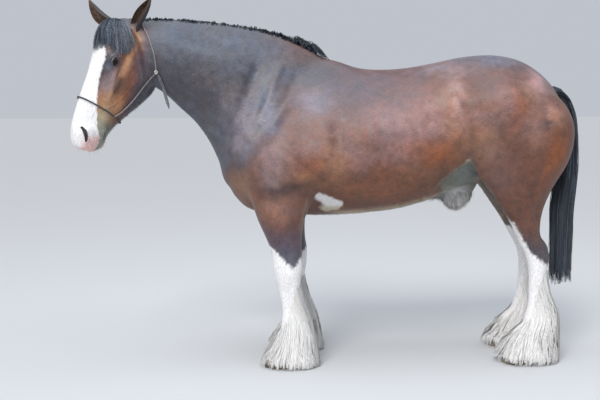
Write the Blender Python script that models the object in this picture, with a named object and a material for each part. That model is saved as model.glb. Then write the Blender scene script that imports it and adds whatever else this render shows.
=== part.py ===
"""Shire horse standing square on four feet, life size, with a thin cord halter.

Metres, +Z up, the floor at Z = 0. The nose points to -X, so -Y is the horse's left side. The whole body is
drawn from ribs that are lofted, fused and smoothed, then parted by thin cuts into named sub-parts.
"""
import math
import random

import bmesh
import bpy
import numpy as np
from mathutils import Matrix, Vector
from mathutils.bvhtree import BVHTree

GAP = 0.0003                 # space that touching sub-parts keep
VOXEL = 0.011                # cell of the mesh that fuses the body
RIB_SIDE = 14                # points down one side of a rib
STEPS = 4                    # ribs drawn between two named ones

# Head pose: the face line hangs this steep, and the head looks this far to the horse's left
FACE_DROP = math.radians(66.6)
HEAD_YAW = math.radians(32.0)
HEAD_ORIGIN = Vector((-1.155, -0.085, 1.927))   # on the face line, level with the poll

# Torso ribs: x, top z, bottom z, then half-widths at the top, upper, lower and bottom level
TORSO_RIBS = (
    (-0.52, 1.20, 0.93, 0.07, 0.12, 0.13, 0.11),
    (-0.43, 1.40, 0.845, 0.09, 0.19, 0.23, 0.19),
    (-0.28, 1.56, 0.812, 0.09, 0.23, 0.29, 0.22),
    (-0.12, 1.68, 0.806, 0.08, 0.25, 0.325, 0.24),
    (0.04, 1.672, 0.806, 0.10, 0.295, 0.355, 0.27),
    (0.20, 1.622, 0.815, 0.17, 0.335, 0.375, 0.30),
    (0.40, 1.620, 0.840, 0.22, 0.355, 0.385, 0.32),
    (0.58, 1.650, 0.888, 0.24, 0.36, 0.375, 0.31),
    (0.74, 1.688, 0.950, 0.25, 0.365, 0.35, 0.28),
    (0.90, 1.705, 1.00, 0.26, 0.37, 0.34, 0.24),
    (1.05, 1.680, 1.03, 0.26, 0.355, 0.32, 0.20),
    (1.17, 1.615, 1.08, 0.22, 0.30, 0.27, 0.16),
    (1.265, 1.525, 1.15, 0.15, 0.20, 0.18, 0.12),
    (1.325, 1.43, 1.25, 0.07, 0.09, 0.08, 0.06),
)

# Neck ribs: crest x, crest z, throat x, throat z, sideways shift, then the four half-widths
NECK_RIBS = (
    (0.04, 1.66, -0.42, 0.90, 0.0, 0.07, 0.17, 0.26, 0.22),
    (-0.12, 1.75, -0.555, 0.98, 0.0, 0.06, 0.15, 0.23, 0.19),
    (-0.30, 1.82, -0.595, 1.115, -0.002, 0.05, 0.125, 0.185, 0.15),
    (-0.48, 1.857, -0.645, 1.225, -0.008, 0.045, 0.11, 0.15, 0.12),
    (-0.66, 1.877, -0.715, 1.325, -0.022, 0.042, 0.10, 0.13, 0.10),
    (-0.82, 1.888, -0.80, 1.405, -0.045, 0.042, 0.092, 0.115, 0.09),
    (-0.95, 1.888, -0.87, 1.475, -0.070, 0.045, 0.088, 0.105, 0.085),
    (-1.06, 1.868, -0.98, 1.56, -0.10, 0.035, 0.065, 0.075, 0.05),
)

# Head ribs in head axes: distance down the face, top and bottom depth, then the four half-widths
HEAD_RIBS = (
    (0.00, -0.085, -0.25, 0.070, 0.075, 0.070, 0.055),
    (0.04, -0.038, -0.31, 0.100, 0.085, 0.088, 0.075),
    (0.10, -0.012, -0.355, 0.135, 0.098, 0.100, 0.085),
    (0.17, -0.002, -0.392, 0.155, 0.105, 0.106, 0.088),
    (0.24, 0.000, -0.408, 0.180, 0.107, 0.108, 0.086),
    (0.31, -0.001, -0.405, 0.130, 0.102, 0.108, 0.082),
    (0.38, -0.003, -0.372, 0.090, 0.088, 0.093, 0.072),
    (0.46, -0.004, -0.318, 0.074, 0.077, 0.077, 0.062),
    (0.54, -0.007, -0.270, 0.066, 0.068, 0.065, 0.056),
    (0.61, -0.013, -0.238, 0.062, 0.066, 0.062, 0.053),
    (0.67, -0.024, -0.225, 0.062, 0.070, 0.062, 0.050),
    (0.715, -0.045, -0.208, 0.054, 0.065, 0.057, 0.042),
    (0.745, -0.078, -0.175, 0.038, 0.045, 0.040, 0.028),
)

# Leg ribs: z, front x, rear x, inner y, outer y
FORE_RIBS = (
    (1.35, -0.32, -0.14, 0.10, 0.19),
    (1.22, -0.40, -0.05, 0.05, 0.29),
    (1.08, -0.440, -0.02, 0.04, 0.325),
    (0.98, -0.438, -0.055, 0.045, 0.325),
    (0.90, -0.415, -0.085, 0.06, 0.312),
    (0.82, -0.385, -0.122, 0.08, 0.295),
    (0.74, -0.350, -0.138, 0.095, 0.275),
    (0.66, -0.320, -0.143, 0.105, 0.258),
    (0.60, -0.304, -0.138, 0.112, 0.252),
    (0.53, -0.300, -0.138, 0.110, 0.254),
    (0.47, -0.288, -0.146, 0.122, 0.244),
    (0.41, -0.270, -0.152, 0.135, 0.232),
    (0.32, -0.252, -0.155, 0.140, 0.228),
    (0.25, -0.255, -0.140, 0.132, 0.236),
    (0.205, -0.262, -0.140, 0.130, 0.238),
    (0.155, -0.280, -0.165, 0.134, 0.234),
    (0.10, -0.302, -0.165, 0.120, 0.248),
    (0.06, -0.315, -0.165, 0.114, 0.254),
)
HIND_RIBS = (
    (1.57, 0.88, 1.08, 0.05, 0.20),
    (1.47, 0.77, 1.245, 0.00, 0.32),
    (1.34, 0.755, 1.332, 0.005, 0.352),
    (1.22, 0.765, 1.345, 0.01, 0.356),
    (1.10, 0.785, 1.312, 0.025, 0.345),
    (1.00, 0.845, 1.252, 0.05, 0.320),
    (0.90, 0.920, 1.200, 0.085, 0.290),
    (0.80, 0.985, 1.172, 0.11, 0.265),
    (0.71, 1.030, 1.175, 0.125, 0.250),
    (0.64, 1.065, 1.212, 0.128, 0.246),
    (0.585, 1.090, 1.226, 0.126, 0.248),
    (0.51, 1.108, 1.212, 0.132, 0.242),
    (0.42, 1.110, 1.200, 0.145, 0.232),
    (0.33, 1.108, 1.198, 0.148, 0.228),
    (0.25, 1.090, 1.196, 0.140, 0.236),
    (0.205, 1.075, 1.190, 0.138, 0.238),
    (0.155, 1.045, 1.160, 0.140, 0.236),
    (0.10, 1.015, 1.150, 0.128, 0.248),
    (0.06, 1.002, 1.150, 0.122, 0.254),
)
# Sheath under the belly: x, z and radius
SHEATH = ((0.62, 0.935, 0.015), (0.68, 0.912, 0.045), (0.74, 0.905, 0.052), (0.80, 0.930, 0.045), (0.86, 0.98, 0.02))
# How far behind the left foot each right one stands, by height
SQUARE = ((1.0, 0.0), (0.0, 0.0))
FAR_FORE_STEP = ((1.25, 0.0), (0.60, 0.052), (0.0, 0.052))
FAR_HIND_STEP = ((1.25, 0.0), (0.60, 0.045), (0.45, 0.045), (0.10, 0.022), (0.0, 0.022))

# Soft swellings of muscle and bone, mirrored: place, size along x, y, z, and height of the swelling
BODY_RELIEF = (
    ((0.66, 0.30, 1.53), (0.09, 0.12, 0.07), 0.030),      # point of hip
    ((0.80, 0.34, 1.13), (0.10, 0.12, 0.10), 0.020),      # stifle
    ((0.62, 0.33, 1.34), (0.10, 0.12, 0.12), -0.026),     # hollow of the flank
    ((-0.42, 0.20, 1.14), (0.10, 0.12, 0.12), 0.026),     # point of shoulder
    ((-0.10, 0.30, 1.10), (0.15, 0.14, 0.13), 0.026),     # triceps
    ((-0.24, 0.22, 1.42), (0.10, 0.14, 0.22), 0.022),     # shoulder blade
    ((-0.40, 0.20, 1.45), (0.07, 0.14, 0.22), -0.016),    # groove before the shoulder
    ((0.08, 0.25, 1.42), (0.10, 0.16, 0.18), -0.014),     # hollow behind the shoulder blade
    ((1.24, 0.27, 1.36), (0.10, 0.14, 0.14), 0.014),      # point of buttock
    ((1.00, 0.32, 1.36), (0.14, 0.14, 0.16), 0.012),      # thigh muscle
    ((-0.34, 0.25, 0.83), (0.06, 0.10, 0.12), 0.010),     # forearm muscle
    ((1.02, 0.27, 0.88), (0.06, 0.10, 0.10), 0.010),      # gaskin muscle
    ((0.95, 0.00, 1.72), (0.35, 0.05, 0.10), -0.012),     # furrow of the double croup
)


# The same in head axes, mirrored left to right
HEAD_RELIEF = (
    ((0.255, -0.062, 0.108), (0.042, 0.036, 0.035), 0.011),   # rim of the eye socket
    ((0.180, -0.045, 0.085), (0.024, 0.024, 0.030), -0.010),  # hollow above the eye
    ((0.330, -0.112, 0.098), (0.035, 0.014, 0.040), 0.007),   # facial crest
    ((0.380, -0.126, 0.090), (0.035, 0.014, 0.040), 0.007),
    ((0.425, -0.136, 0.082), (0.032, 0.014, 0.040), 0.007),
    ((0.250, -0.280, 0.110), (0.100, 0.095, 0.060), 0.011),   # cheek muscle
    ((0.445, -0.195, 0.080), (0.070, 0.035, 0.040), -0.011),  # hollow under the crest
    ((0.400, -0.070, 0.075), (0.080, 0.030, 0.030), -0.006),  # side of the nasal bone
    ((0.665, -0.075, 0.062), (0.038, 0.032, 0.030), 0.012),   # wing of the nostril
    ((0.600, -0.085, 0.062), (0.025, 0.028, 0.030), -0.006),
    ((0.748, -0.115, 0.000), (0.030, 0.035, 0.040), 0.007),   # upper lip
    ((0.690, -0.225, 0.000), (0.035, 0.030, 0.040), 0.010),   # chin
    ((0.585, -0.200, 0.062), (0.022, 0.022, 0.030), -0.005),  # corner of the mouth
    ((0.360, -0.410, 0.000), (0.170, 0.050, 0.028), -0.016),  # between the branches of the jaw
)
NOSTRIL = ((0.650, -0.060, 0.006), (0.668, -0.080, 0.010), (0.690, -0.096, 0.0085), (0.708, -0.104, 0.005))
MOUTH = ((0.598, -0.186), (0.625, -0.196), (0.655, -0.200), (0.690, -0.196), (0.720, -0.180), (0.742, -0.152))
EYE_PLACE = (0.262, -0.078)   # down the face and out of the forehead
EYE_R = 0.0215
EYE_SINK = 0.0180             # from the ball's middle out to the skin
LID = 0.0042

# Cuts that part the body, in x and z or |y| and z; the head's is turned a little with the head
HEAD_CUT = ((-0.965, 1.89), (-0.80, 1.43))
HEAD_CUT_TURN = math.radians(20.0)
NECK_CUT = ((-0.02, 1.72), (-0.56, 0.97))
FORE_CUT = ((0.02, 0.755), (0.42, 0.995))
FORE_BACK = -0.065           # rear wall of the upper foreleg
HIND_CUT = ((0.02, 0.92), (0.42, 1.28))
HIND_FRONT = 0.70            # front wall of the upper hind leg
KNEE_Z = 0.585
HOCK_Z = 0.70
HOOF_Z = 0.075

# Ears: points up the middle line, then the width of the cup at each
LEFT_EAR = ((-1.028, -0.105, 1.800), (-1.020, -0.125, 1.850), (-0.992, -0.150, 1.900), (-0.960, -0.172, 1.945),
            (-0.934, -0.186, 1.985))
RIGHT_EAR = ((-1.123, 0.000, 1.841), (-1.185, 0.050, 1.866), (-1.235, 0.085, 1.900), (-1.268, 0.110, 1.945),
             (-1.292, 0.125, 1.992))
EAR_WIDTHS = (0.052, 0.070, 0.076, 0.054, 0.012)
# Which way each cup opens
LEFT_EAR_OPENS = (-0.60, -0.75, 0.25)
RIGHT_EAR_OPENS = (-0.60, -0.60, -0.10)

# Hoof rings: z, toe x, heel x, inner y, outer y
FORE_HOOF = (
    (0.0, -0.352, -0.150, 0.097, 0.271),
    (0.045, -0.332, -0.155, 0.106, 0.262),
    (HOOF_Z - 0.008, -0.314, -0.160, 0.115, 0.253),
    (HOOF_Z, -0.308, -0.166, 0.119, 0.249),
)
HIND_HOOF = (
    (0.0, 0.966, 1.160, 0.106, 0.270),
    (0.045, 0.985, 1.156, 0.114, 0.262),
    (HOOF_Z - 0.008, 1.003, 1.152, 0.123, 0.253),
    (HOOF_Z, 1.009, 1.146, 0.127, 0.249),
)

# Leg hair: outline of the hair at each height as z, front x, rear x, inner y, outer y
FORE_FEATHER = (
    (0.00, -0.372, -0.040, 0.055, 0.315),
    (0.05, -0.362, -0.046, 0.062, 0.308),
    (0.10, -0.332, -0.054, 0.078, 0.290),
    (0.175, -0.286, -0.068, 0.100, 0.268),
    (0.25, -0.260, -0.090, 0.118, 0.250),
    (0.34, -0.256, -0.114, 0.130, 0.238),
    (0.46, -0.285, -0.143, 0.122, 0.246),
)
HIND_FEATHER = (
    (0.00, 0.915, 1.290, 0.050, 0.325),
    (0.05, 0.925, 1.292, 0.055, 0.318),
    (0.10, 0.950, 1.294, 0.072, 0.302),
    (0.16, 0.983, 1.292, 0.092, 0.284),
    (0.233, 1.062, 1.288, 0.110, 0.266),
    (0.275, 1.095, 1.284, 0.122, 0.256),
    (0.395, 1.108, 1.254, 0.134, 0.244),
    (0.52, 1.108, 1.222, 0.132, 0.244),
)
# Tiers of leg locks: height of the roots, height of the tips, number, spread of angles about the rear
FORE_TIERS = (
    (0.410, 0.230, 2, 50),
    (0.310, 0.125, 3, 85),
    (0.215, 0.050, 4, 125),
    (0.140, 0.012, 7, 180),
)
HIND_TIERS = (
    (0.520, 0.310, 2, 45),
    (0.390, 0.190, 3, 80),
    (0.265, 0.070, 4, 125),
    (0.150, 0.012, 7, 180),
)

def clear_scene():
    for obj in list(bpy.data.objects):
        bpy.data.objects.remove(obj)


def between(rows, steps=STEPS):
    """Rows with smooth ones drawn between them, along a Catmull-Rom curve."""
    rows = [np.array(row, float) for row in rows]
    padded = [2 * rows[0] - rows[1], *rows, 2 * rows[-1] - rows[-2]]
    found = []
    for i in range(1, len(padded) - 2):
        a, b, c, d = padded[i - 1:i + 3]
        for k in range(steps):
            t = k / steps
            found.append(0.5 * (2 * b + (c - a) * t + (2 * a - 5 * b + 4 * c - d) * t * t
                                + (3 * b - a - 3 * c + d) * t ** 3))
    return [*found, rows[-1]]


def rib(top, bottom, side, widths):
    """A closed ring from top to bottom and back, widths wide to each side at four even levels."""
    ring = []
    for k in range(2 * RIB_SIDE):
        angle = math.pi * k / RIB_SIDE
        level = (1 - math.cos(angle)) / 2
        width = np.interp(level, (0, 1 / 3, 2 / 3, 1), widths)
        ring.append(top.lerp(bottom, level) + side * (width * math.sin(angle)))
    return ring


def loft(bm, rings):
    """Closed skin over the rings, capped at both ends."""
    rows = [[bm.verts.new(p) for p in ring] for ring in rings]
    count = len(rows[0])
    for lower, upper in zip(rows, rows[1:]):
        for k in range(count):
            j = (k + 1) % count
            bm.faces.new((lower[k], lower[j], upper[j], upper[k]))
    bm.faces.new(rows[0][::-1])
    bm.faces.new(rows[-1])


def object_from(bm, name):
    mesh = bpy.data.meshes.new(name)
    bmesh.ops.recalc_face_normals(bm, faces=bm.faces)
    bm.to_mesh(mesh)
    bm.free()
    obj = bpy.data.objects.new(name, mesh)
    bpy.context.scene.collection.objects.link(obj)
    return obj


def apply_modifiers(obj):
    """The object with its modifiers made part of its mesh."""
    graph = bpy.context.evaluated_depsgraph_get()
    mesh = bpy.data.meshes.new_from_object(obj.evaluated_get(graph))
    obj.modifiers.clear()
    old = obj.data
    obj.data = mesh
    bpy.data.meshes.remove(old)
    return obj


def head_matrix():
    """Head axes: x down the face, y out of the forehead, z to the horse's right."""
    ahead = Vector((-math.cos(HEAD_YAW), -math.sin(HEAD_YAW), 0))
    down = ahead * math.cos(FACE_DROP) - Vector((0, 0, math.sin(FACE_DROP)))
    front = ahead * math.sin(FACE_DROP) + Vector((0, 0, math.cos(FACE_DROP)))
    right = down.cross(front)
    matrix = Matrix((down, front, right)).transposed().to_4x4()
    matrix.translation = HEAD_ORIGIN
    return matrix


def torso_rings():
    side = Vector((0, 1, 0))
    return [rib(Vector((x, 0, top)), Vector((x, 0, low)), side, widths)
            for x, top, low, *widths in between(TORSO_RIBS)]


def neck_rings():
    rings = []
    for cx, cz, tx, tz, shift, *widths in between(NECK_RIBS):
        turn = HEAD_YAW * 0.8 * min(1.0, max(0.0, (-0.35 - cx) / 0.7))
        side = Vector((math.sin(turn), -math.cos(turn), 0))
        rings.append(rib(Vector((cx, shift, cz)), Vector((tx, shift, tz)), side, widths))
    return rings


def head_rings():
    matrix = head_matrix()
    side = Vector((0, 0, 1))
    rings = []
    for along, top, low, *widths in between(HEAD_RIBS):
        ring = rib(Vector((along, top, 0)), Vector((along, low, 0)), side, widths)
        rings.append([matrix @ p for p in ring])
    return rings


def stepped(step, z):
    """How far back a leg stands at height z."""
    return float(np.interp(z, [row[0] for row in step[::-1]], [row[1] for row in step[::-1]]))


def leg_rings(ribs, sign, step):
    """Level rings down a leg: sign -1 is the left side."""
    rings = []
    for z, front, rear, inner, outer in between(ribs):
        moved = stepped(step, z)
        centre = Vector(((front + rear) / 2 + moved, sign * (inner + outer) / 2, z))
        ring = []
        for k in range(2 * RIB_SIDE):
            angle = math.pi * k / RIB_SIDE
            ring.append(centre + Vector((math.cos(angle) * (rear - front) / 2,
                                         math.sin(angle) * (outer - inner) / 2, 0)))
        rings.append(ring)
    return rings


def smooth_weight(point, to_head):
    """How strongly the fused surface is smoothed: most on the trunk, least on head and feet."""
    spot = to_head @ point
    face = min(1.0, max(0.0, (spot.y + 0.30) / 0.12)) * min(1.0, max(0.0, (spot.x + 0.02) / 0.10))
    face = max(face, min(1.0, max(0.0, (spot.x - 0.25) / 0.15)))
    if point.x < -0.6 and face > 0:
        return 1.0 - 0.9 * face
    if point.z < 0.75:
        return 0.10
    if point.z < 1.0:
        return 0.10 + 0.9 * (point.z - 0.75) / 0.25
    return 1.0


def whole_body():
    """The body in one closed mesh, from the lofted forms."""
    bm = bmesh.new()
    loft(bm, torso_rings())
    loft(bm, neck_rings())
    loft(bm, head_rings())
    for sign, fore, hind in ((-1, SQUARE, SQUARE), (1, FAR_FORE_STEP, FAR_HIND_STEP)):
        loft(bm, leg_rings(FORE_RIBS, sign, fore))
        loft(bm, leg_rings(HIND_RIBS, sign, hind))
    loft(bm, [[Vector((x, math.sin(math.pi * k / 8) * size * 0.9, z + math.cos(math.pi * k / 8) * size))
               for k in range(16)] for x, z, size in between(SHEATH, 2)])
    body = object_from(bm, "body")
    fuse = body.modifiers.new("fuse", "REMESH")
    fuse.mode = "VOXEL"
    fuse.voxel_size = VOXEL
    apply_modifiers(body)
    group = body.vertex_groups.new(name="blend")
    to_head = head_matrix().inverted()
    for vertex in body.data.vertices:
        group.add([vertex.index], smooth_weight(vertex.co, to_head), "REPLACE")
    smooth = body.modifiers.new("blend", "SMOOTH")
    smooth.factor = 0.5
    smooth.iterations = 45
    smooth.vertex_group = "blend"
    apply_modifiers(body)
    swell(body.data, BODY_RELIEF, Matrix.Identity(4), 1)
    swell(body.data, HEAD_RELIEF, to_head, 2)
    return body


def swell(mesh, relief, axes, mirror):
    """Moves the surface out along its normals by the swellings in relief, alike on both sides."""
    count = len(mesh.vertices)
    co = np.empty(count * 3, np.float32)
    no = np.empty(count * 3, np.float32)
    mesh.vertices.foreach_get("co", co)
    mesh.vertices.foreach_get("normal", no)
    co = co.reshape(-1, 3)
    no = no.reshape(-1, 3)
    turn = np.array(axes)
    spots = co @ turn[:3, :3].T + turn[:3, 3]
    spots[:, mirror] = np.abs(spots[:, mirror])
    out = np.zeros(count)
    for place, size, height in relief:
        away = (spots - place) / np.array(size)
        out += height * np.exp(-(away ** 2).sum(axis=1))
    mesh.vertices.foreach_set("co", (co + no * out[:, None]).astype(np.float32).ravel())
    mesh.update()


def thin(obj, inside, wanted):
    """Fewer triangles where inside(point) holds: about this many stay there."""
    group = obj.vertex_groups.new(name="thin")
    held = [inside(v.co) for v in obj.data.vertices]
    group.add([i for i, flag in enumerate(held) if flag], 1.0, "REPLACE")
    total = 0
    region = 0
    for face in obj.data.polygons:
        size = len(face.vertices) - 2
        total += size
        if all(held[i] for i in face.vertices):
            region += size
    reduce = obj.modifiers.new("thin", "DECIMATE")
    reduce.vertex_group = "thin"
    reduce.vertex_group_factor = 1.0
    reduce.ratio = (total - region + wanted) / total
    apply_modifiers(obj)
    obj.vertex_groups.clear()


def copy_of(obj, name):
    twin = bpy.data.objects.new(name, obj.data.copy())
    bpy.context.scene.collection.objects.link(twin)
    return twin


def drop(obj):
    bpy.data.objects.remove(obj)


def keep_side(obj, point, normal):
    """The part of the object on the side of the plane that the normal points to, closed flat."""
    bm = bmesh.new()
    bm.from_mesh(obj.data)
    geom = [*bm.verts, *bm.edges, *bm.faces]
    bmesh.ops.bisect_plane(bm, geom=geom, dist=1e-6, plane_co=point, plane_no=normal, clear_inner=True)
    rim = [edge for edge in bm.edges if edge.is_boundary]
    bmesh.ops.holes_fill(bm, edges=rim, sides=0)
    bmesh.ops.recalc_face_normals(bm, faces=bm.faces)
    bm.to_mesh(obj.data)
    bm.free()
    return obj


def part_at(obj, name, point, normal):
    """Parts the object by a thin cut: the new object is on the side the normal points to."""
    normal = Vector(normal).normalized()
    point = Vector(point)
    twin = keep_side(copy_of(obj, name), point + normal * GAP / 2, normal)
    keep_side(obj, point - normal * GAP / 2, -normal)
    return twin


def cut(obj, tool, operation, solver="EXACT"):
    """Applies one Boolean with the tool."""
    step = obj.modifiers.new("cut", "BOOLEAN")
    step.operation = operation
    step.solver = solver
    step.object = tool
    return apply_modifiers(obj)


def fuse(obj, pieces, solver="MANIFOLD"):
    """Unites the object with all the pieces, which are then gone."""
    if not pieces:
        return obj
    group = bpy.data.collections.new("grown")
    bpy.context.scene.collection.children.link(group)
    for piece in pieces:
        for home in list(piece.users_collection):
            home.objects.unlink(piece)
        group.objects.link(piece)
    step = obj.modifiers.new("fuse", "BOOLEAN")
    step.operation = "UNION"
    step.solver = solver
    step.operand_type = "COLLECTION"
    step.collection = group
    apply_modifiers(obj)
    for piece in pieces:
        drop(piece)
    bpy.data.collections.remove(group)
    return obj


def grown_shell(obj, name, out):
    """A copy of the object whose surface lies farther out, to cut clear space beside it."""
    twin = copy_of(obj, name)
    mesh = twin.data
    for vertex, normal in [(v, v.normal.copy()) for v in mesh.vertices]:
        vertex.co += normal * out
    mesh.update()
    return twin


def clear_of(obj, others, out=GAP * 1.4, solver="MANIFOLD"):
    """Cuts the object free of its neighbours, so far out from them."""
    for other in others:
        shell = grown_shell(other, "shell", out)
        cut(obj, shell, "DIFFERENCE", solver)
        drop(shell)
    return obj


def islands(bm):
    """The closed surfaces of the mesh, smallest first."""
    seen = set()
    groups = []
    for seed in bm.faces:
        if seed in seen:
            continue
        seen.add(seed)
        stack = [seed]
        found = []
        while stack:
            face = stack.pop()
            found.append(face)
            for edge in face.edges:
                for other in edge.link_faces:
                    if other not in seen:
                        seen.add(other)
                        stack.append(other)
        groups.append(found)
    return sorted(groups, key=lambda found: sum(face.calc_area() for face in found))


def mend(bm):
    """Turns one of two diagonals that fell on the same edge, so that every edge has two faces."""
    for edge in [edge for edge in bm.edges if len(edge.link_faces) == 4]:
        one, two = edge.verts
        faces = list(edge.link_faces)
        pairs = [(f, g) for i, f in enumerate(faces) for g in faces[i + 1:]]
        pairs.sort(key=lambda pair: -pair[0].normal.dot(pair[1].normal))
        for f, g in pairs:
            if f.normal.dot(g.normal) < 0.9:
                break
            c = next(v for v in f.verts if v not in (one, two))
            d = next(v for v in g.verts if v not in (one, two))
            if c == d or any(c in e.verts and d in e.verts for e in c.link_edges):
                continue
            normal = f.normal.copy()
            first = (d.co - c.co).cross(one.co - c.co).dot(normal)
            second = (d.co - c.co).cross(two.co - c.co).dot(normal)
            if first * second >= 0:
                continue
            bmesh.ops.delete(bm, geom=[f, g], context="FACES_ONLY")
            for tip in (one, two):
                face = bm.faces.new((c, d, tip))
                face.normal_update()
                if face.normal.dot(normal) < 0:
                    face.normal_flip()
            break


def tidy(obj):
    """Only the largest closed surface stays; points that nearly meet are merged where it stays closed."""
    for method, reach in (("BEAUTY", 4e-5), ("EAR_CLIP", 4e-5), ("BEAUTY", 1e-5), ("EAR_CLIP", 1e-5),
                          ("BEAUTY", 1e-6), ("EAR_CLIP", 1e-6), ("EAR_CLIP", 0.0), ("BEAUTY", 0.0)):
        bm = bmesh.new()
        bm.from_mesh(obj.data)
        loose = [face for found in islands(bm)[:-1] for face in found]
        bmesh.ops.delete(bm, geom=loose, context="FACES")
        bmesh.ops.triangulate(bm, faces=bm.faces, ngon_method=method)
        if reach:
            bmesh.ops.remove_doubles(bm, verts=bm.verts, dist=reach)
            bmesh.ops.dissolve_degenerate(bm, edges=bm.edges, dist=reach)
            bmesh.ops.triangulate(bm, faces=bm.faces, ngon_method=method)
        mend(bm)
        bmesh.ops.recalc_face_normals(bm, faces=bm.faces)
        closed = all(edge.is_manifold and edge.is_contiguous for edge in bm.edges)
        closed = closed and all(vert.is_manifold for vert in bm.verts)
        if closed or method == "BEAUTY" and not reach:
            bm.to_mesh(obj.data)
            bm.free()
            return obj
        bm.free()


def ball(name, centre, radius, around=16, levels=10):
    bm = bmesh.new()
    bmesh.ops.create_uvsphere(bm, u_segments=around, v_segments=levels, radius=radius,
                              matrix=Matrix.Translation(centre))
    return object_from(bm, name)


def tube(name, points, radius, sides=8, closed=False):
    """A round cord through the points, of one radius or one for each point."""
    points = [Vector(p) for p in points]
    count = len(points)
    bm = bmesh.new()
    rings = []
    across = None
    for k, spot in enumerate(points):
        before = points[(k - 1) % count] if closed or k else spot
        after = points[(k + 1) % count] if closed or k < count - 1 else spot
        along = (after - before).normalized()
        if across is None:
            across = along.orthogonal().normalized()
        across = (across - along * across.dot(along)).normalized()
        other = along.cross(across)
        size = radius[k] if isinstance(radius, (list, tuple)) else radius
        rings.append([spot + (across * math.cos(2 * math.pi * j / sides)
                              + other * math.sin(2 * math.pi * j / sides)) * size for j in range(sides)])
    rows = [[bm.verts.new(p) for p in ring] for ring in rings]
    for k in range(count if closed else count - 1):
        one = rows[k]
        two = rows[(k + 1) % count]
        turn = 0
        if closed and k == count - 1:
            turn = min(range(sides), key=lambda j: (one[0].co - two[j].co).length)
        for j in range(sides):
            i = (j + 1) % sides
            bm.faces.new((one[j], one[i], two[(i + turn) % sides], two[(j + turn) % sides]))
    if not closed:
        bm.faces.new(rows[0][::-1])
        bm.faces.new(rows[-1])
    return object_from(bm, name)


def lock(path, widths, thicks, facings, name="lock"):
    """A flat, tapered lock of hair: a diamond drawn along the path, wide across its facing.

    Its faces are split so that they bulge outwards, or a sharp bend would fold one through another.
    """
    path = [Vector(p) for p in path]
    bm = bmesh.new()
    rows = []
    last = len(path) - 1
    for k, spot in enumerate(path):
        ahead = (path[min(last, k + 1)] - path[min(last - 1, k)]).normalized()
        behind = (path[max(1, k)] - path[max(0, k - 1)]).normalized()
        along = (ahead + behind).normalized()
        face = Vector(facings[k])
        face = (face - along * face.dot(along)).normalized()
        side = along.cross(face)
        if k == last:
            rows.append([bm.verts.new(spot)])
            continue
        rows.append([bm.verts.new(spot + side * widths[k] / 2), bm.verts.new(spot + face * thicks[k] / 2),
                     bm.verts.new(spot - side * widths[k] / 2), bm.verts.new(spot - face * thicks[k] / 2)])
    for one, two, start, end in zip(rows, rows[1:], path, path[1:]):
        middle = (start + end) / 2
        for j in range(4):
            i = (j + 1) % 4
            if len(two) == 1:
                bm.faces.new((one[j], one[i], two[0]))
                continue
            rising = (one[j].co + two[i].co) / 2 - middle
            falling = (one[i].co + two[j].co) / 2 - middle
            if rising.length > falling.length:
                bm.faces.new((one[j], one[i], two[i]))
                bm.faces.new((one[j], two[i], two[j]))
            else:
                bm.faces.new((one[j], one[i], two[j]))
                bm.faces.new((one[i], two[i], two[j]))
    bm.faces.new(rows[0][::-1])
    return object_from(bm, name)


def block(name, planes, grow=0.0):
    """The convex space inside all the planes, given as a point and a normal that points inwards."""
    bm = bmesh.new()
    bmesh.ops.create_cube(bm, size=8.0)
    space = object_from(bm, name)
    for point, normal in planes:
        normal = Vector(normal).normalized()
        keep_side(space, Vector(point) - normal * grow, normal)
    return space


def eye_centre(tree, matrix, sign):
    """Middle of the eyeball, a little inside the skin."""
    start = matrix @ Vector((*EYE_PLACE, sign * 0.25))
    heading = (matrix.to_3x3() @ Vector((0, 0, -sign))).normalized()
    spot = tree.ray_cast(start, heading)[0]
    return spot + heading * EYE_SINK


def make_eyes(head, matrix, tree):
    """Lids with an almond opening are grown on the head; the balls sit behind them."""
    eyes = []
    for sign, side in ((-1, "left"), (1, "right")):
        centre = eye_centre(tree, matrix, sign)
        local = matrix.inverted() @ centre
        cap = ball("lids", centre, EYE_R + LID, 12, 8)
        cut(head, cap, "UNION")
        drop(cap)
        hollow = ball("hollow", centre, EYE_R * 1.02 + GAP, 14, 9)
        cut(head, hollow, "DIFFERENCE")
        drop(hollow)
        bm = bmesh.new()
        rows = []
        for level in (local.z - sign * 0.001, local.z + sign * 0.05):
            row = []
            for k in range(12):
                angle = 2 * math.pi * k / 12
                long = 0.0195 * math.cos(angle)
                high = 0.0105 * math.sin(angle) * (1.0 if math.sin(angle) > 0 else 0.8)
                spread = 1.0 if level == local.z - sign * 0.001 else 1.7
                # the slit slopes down towards the nose, along the facial crest
                along = Vector((0.93, -0.37, 0)) * long * spread + Vector((0.37, 0.93, 0)) * high * spread
                row.append(bm.verts.new(matrix @ Vector((local.x + along.x, local.y + along.y, level))))
            rows.append(row)
        for k in range(12):
            j = (k + 1) % 12
            bm.faces.new((rows[0][k], rows[0][j], rows[1][j], rows[1][k]))
        bm.faces.new(rows[0][::-1])
        bm.faces.new(rows[1])
        slit = object_from(bm, "slit")
        cut(head, slit, "DIFFERENCE")
        drop(slit)
        eyes.append(ball(f"eye_{side}", centre, EYE_R, 14, 9))
    return eyes


def carve_nostrils(head, matrix, tree):
    for sign in (-1, 1):
        pits = []
        for along, out, size in NOSTRIL:
            start = matrix @ Vector((along, out, sign * 0.25))
            heading = (matrix.to_3x3() @ Vector((0, 0, -sign))).normalized()
            spot = tree.ray_cast(start, heading)[0]
            pits.append((spot, heading, size))
        path = [spot + heading * 0.004 for spot, heading, size in pits]
        sizes = [size for spot, heading, size in pits]
        slot = tube("slot", path, sizes, 8)
        cut(head, slot, "DIFFERENCE")
        drop(slot)
        deep = [path[1], path[1] + pits[1][1] * 0.024 + matrix.to_3x3() @ Vector((-0.02, 0.0, 0))]
        hole = tube("hole", deep, [0.0095, 0.005], 8)
        cut(head, hole, "DIFFERENCE")
        drop(hole)


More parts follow.
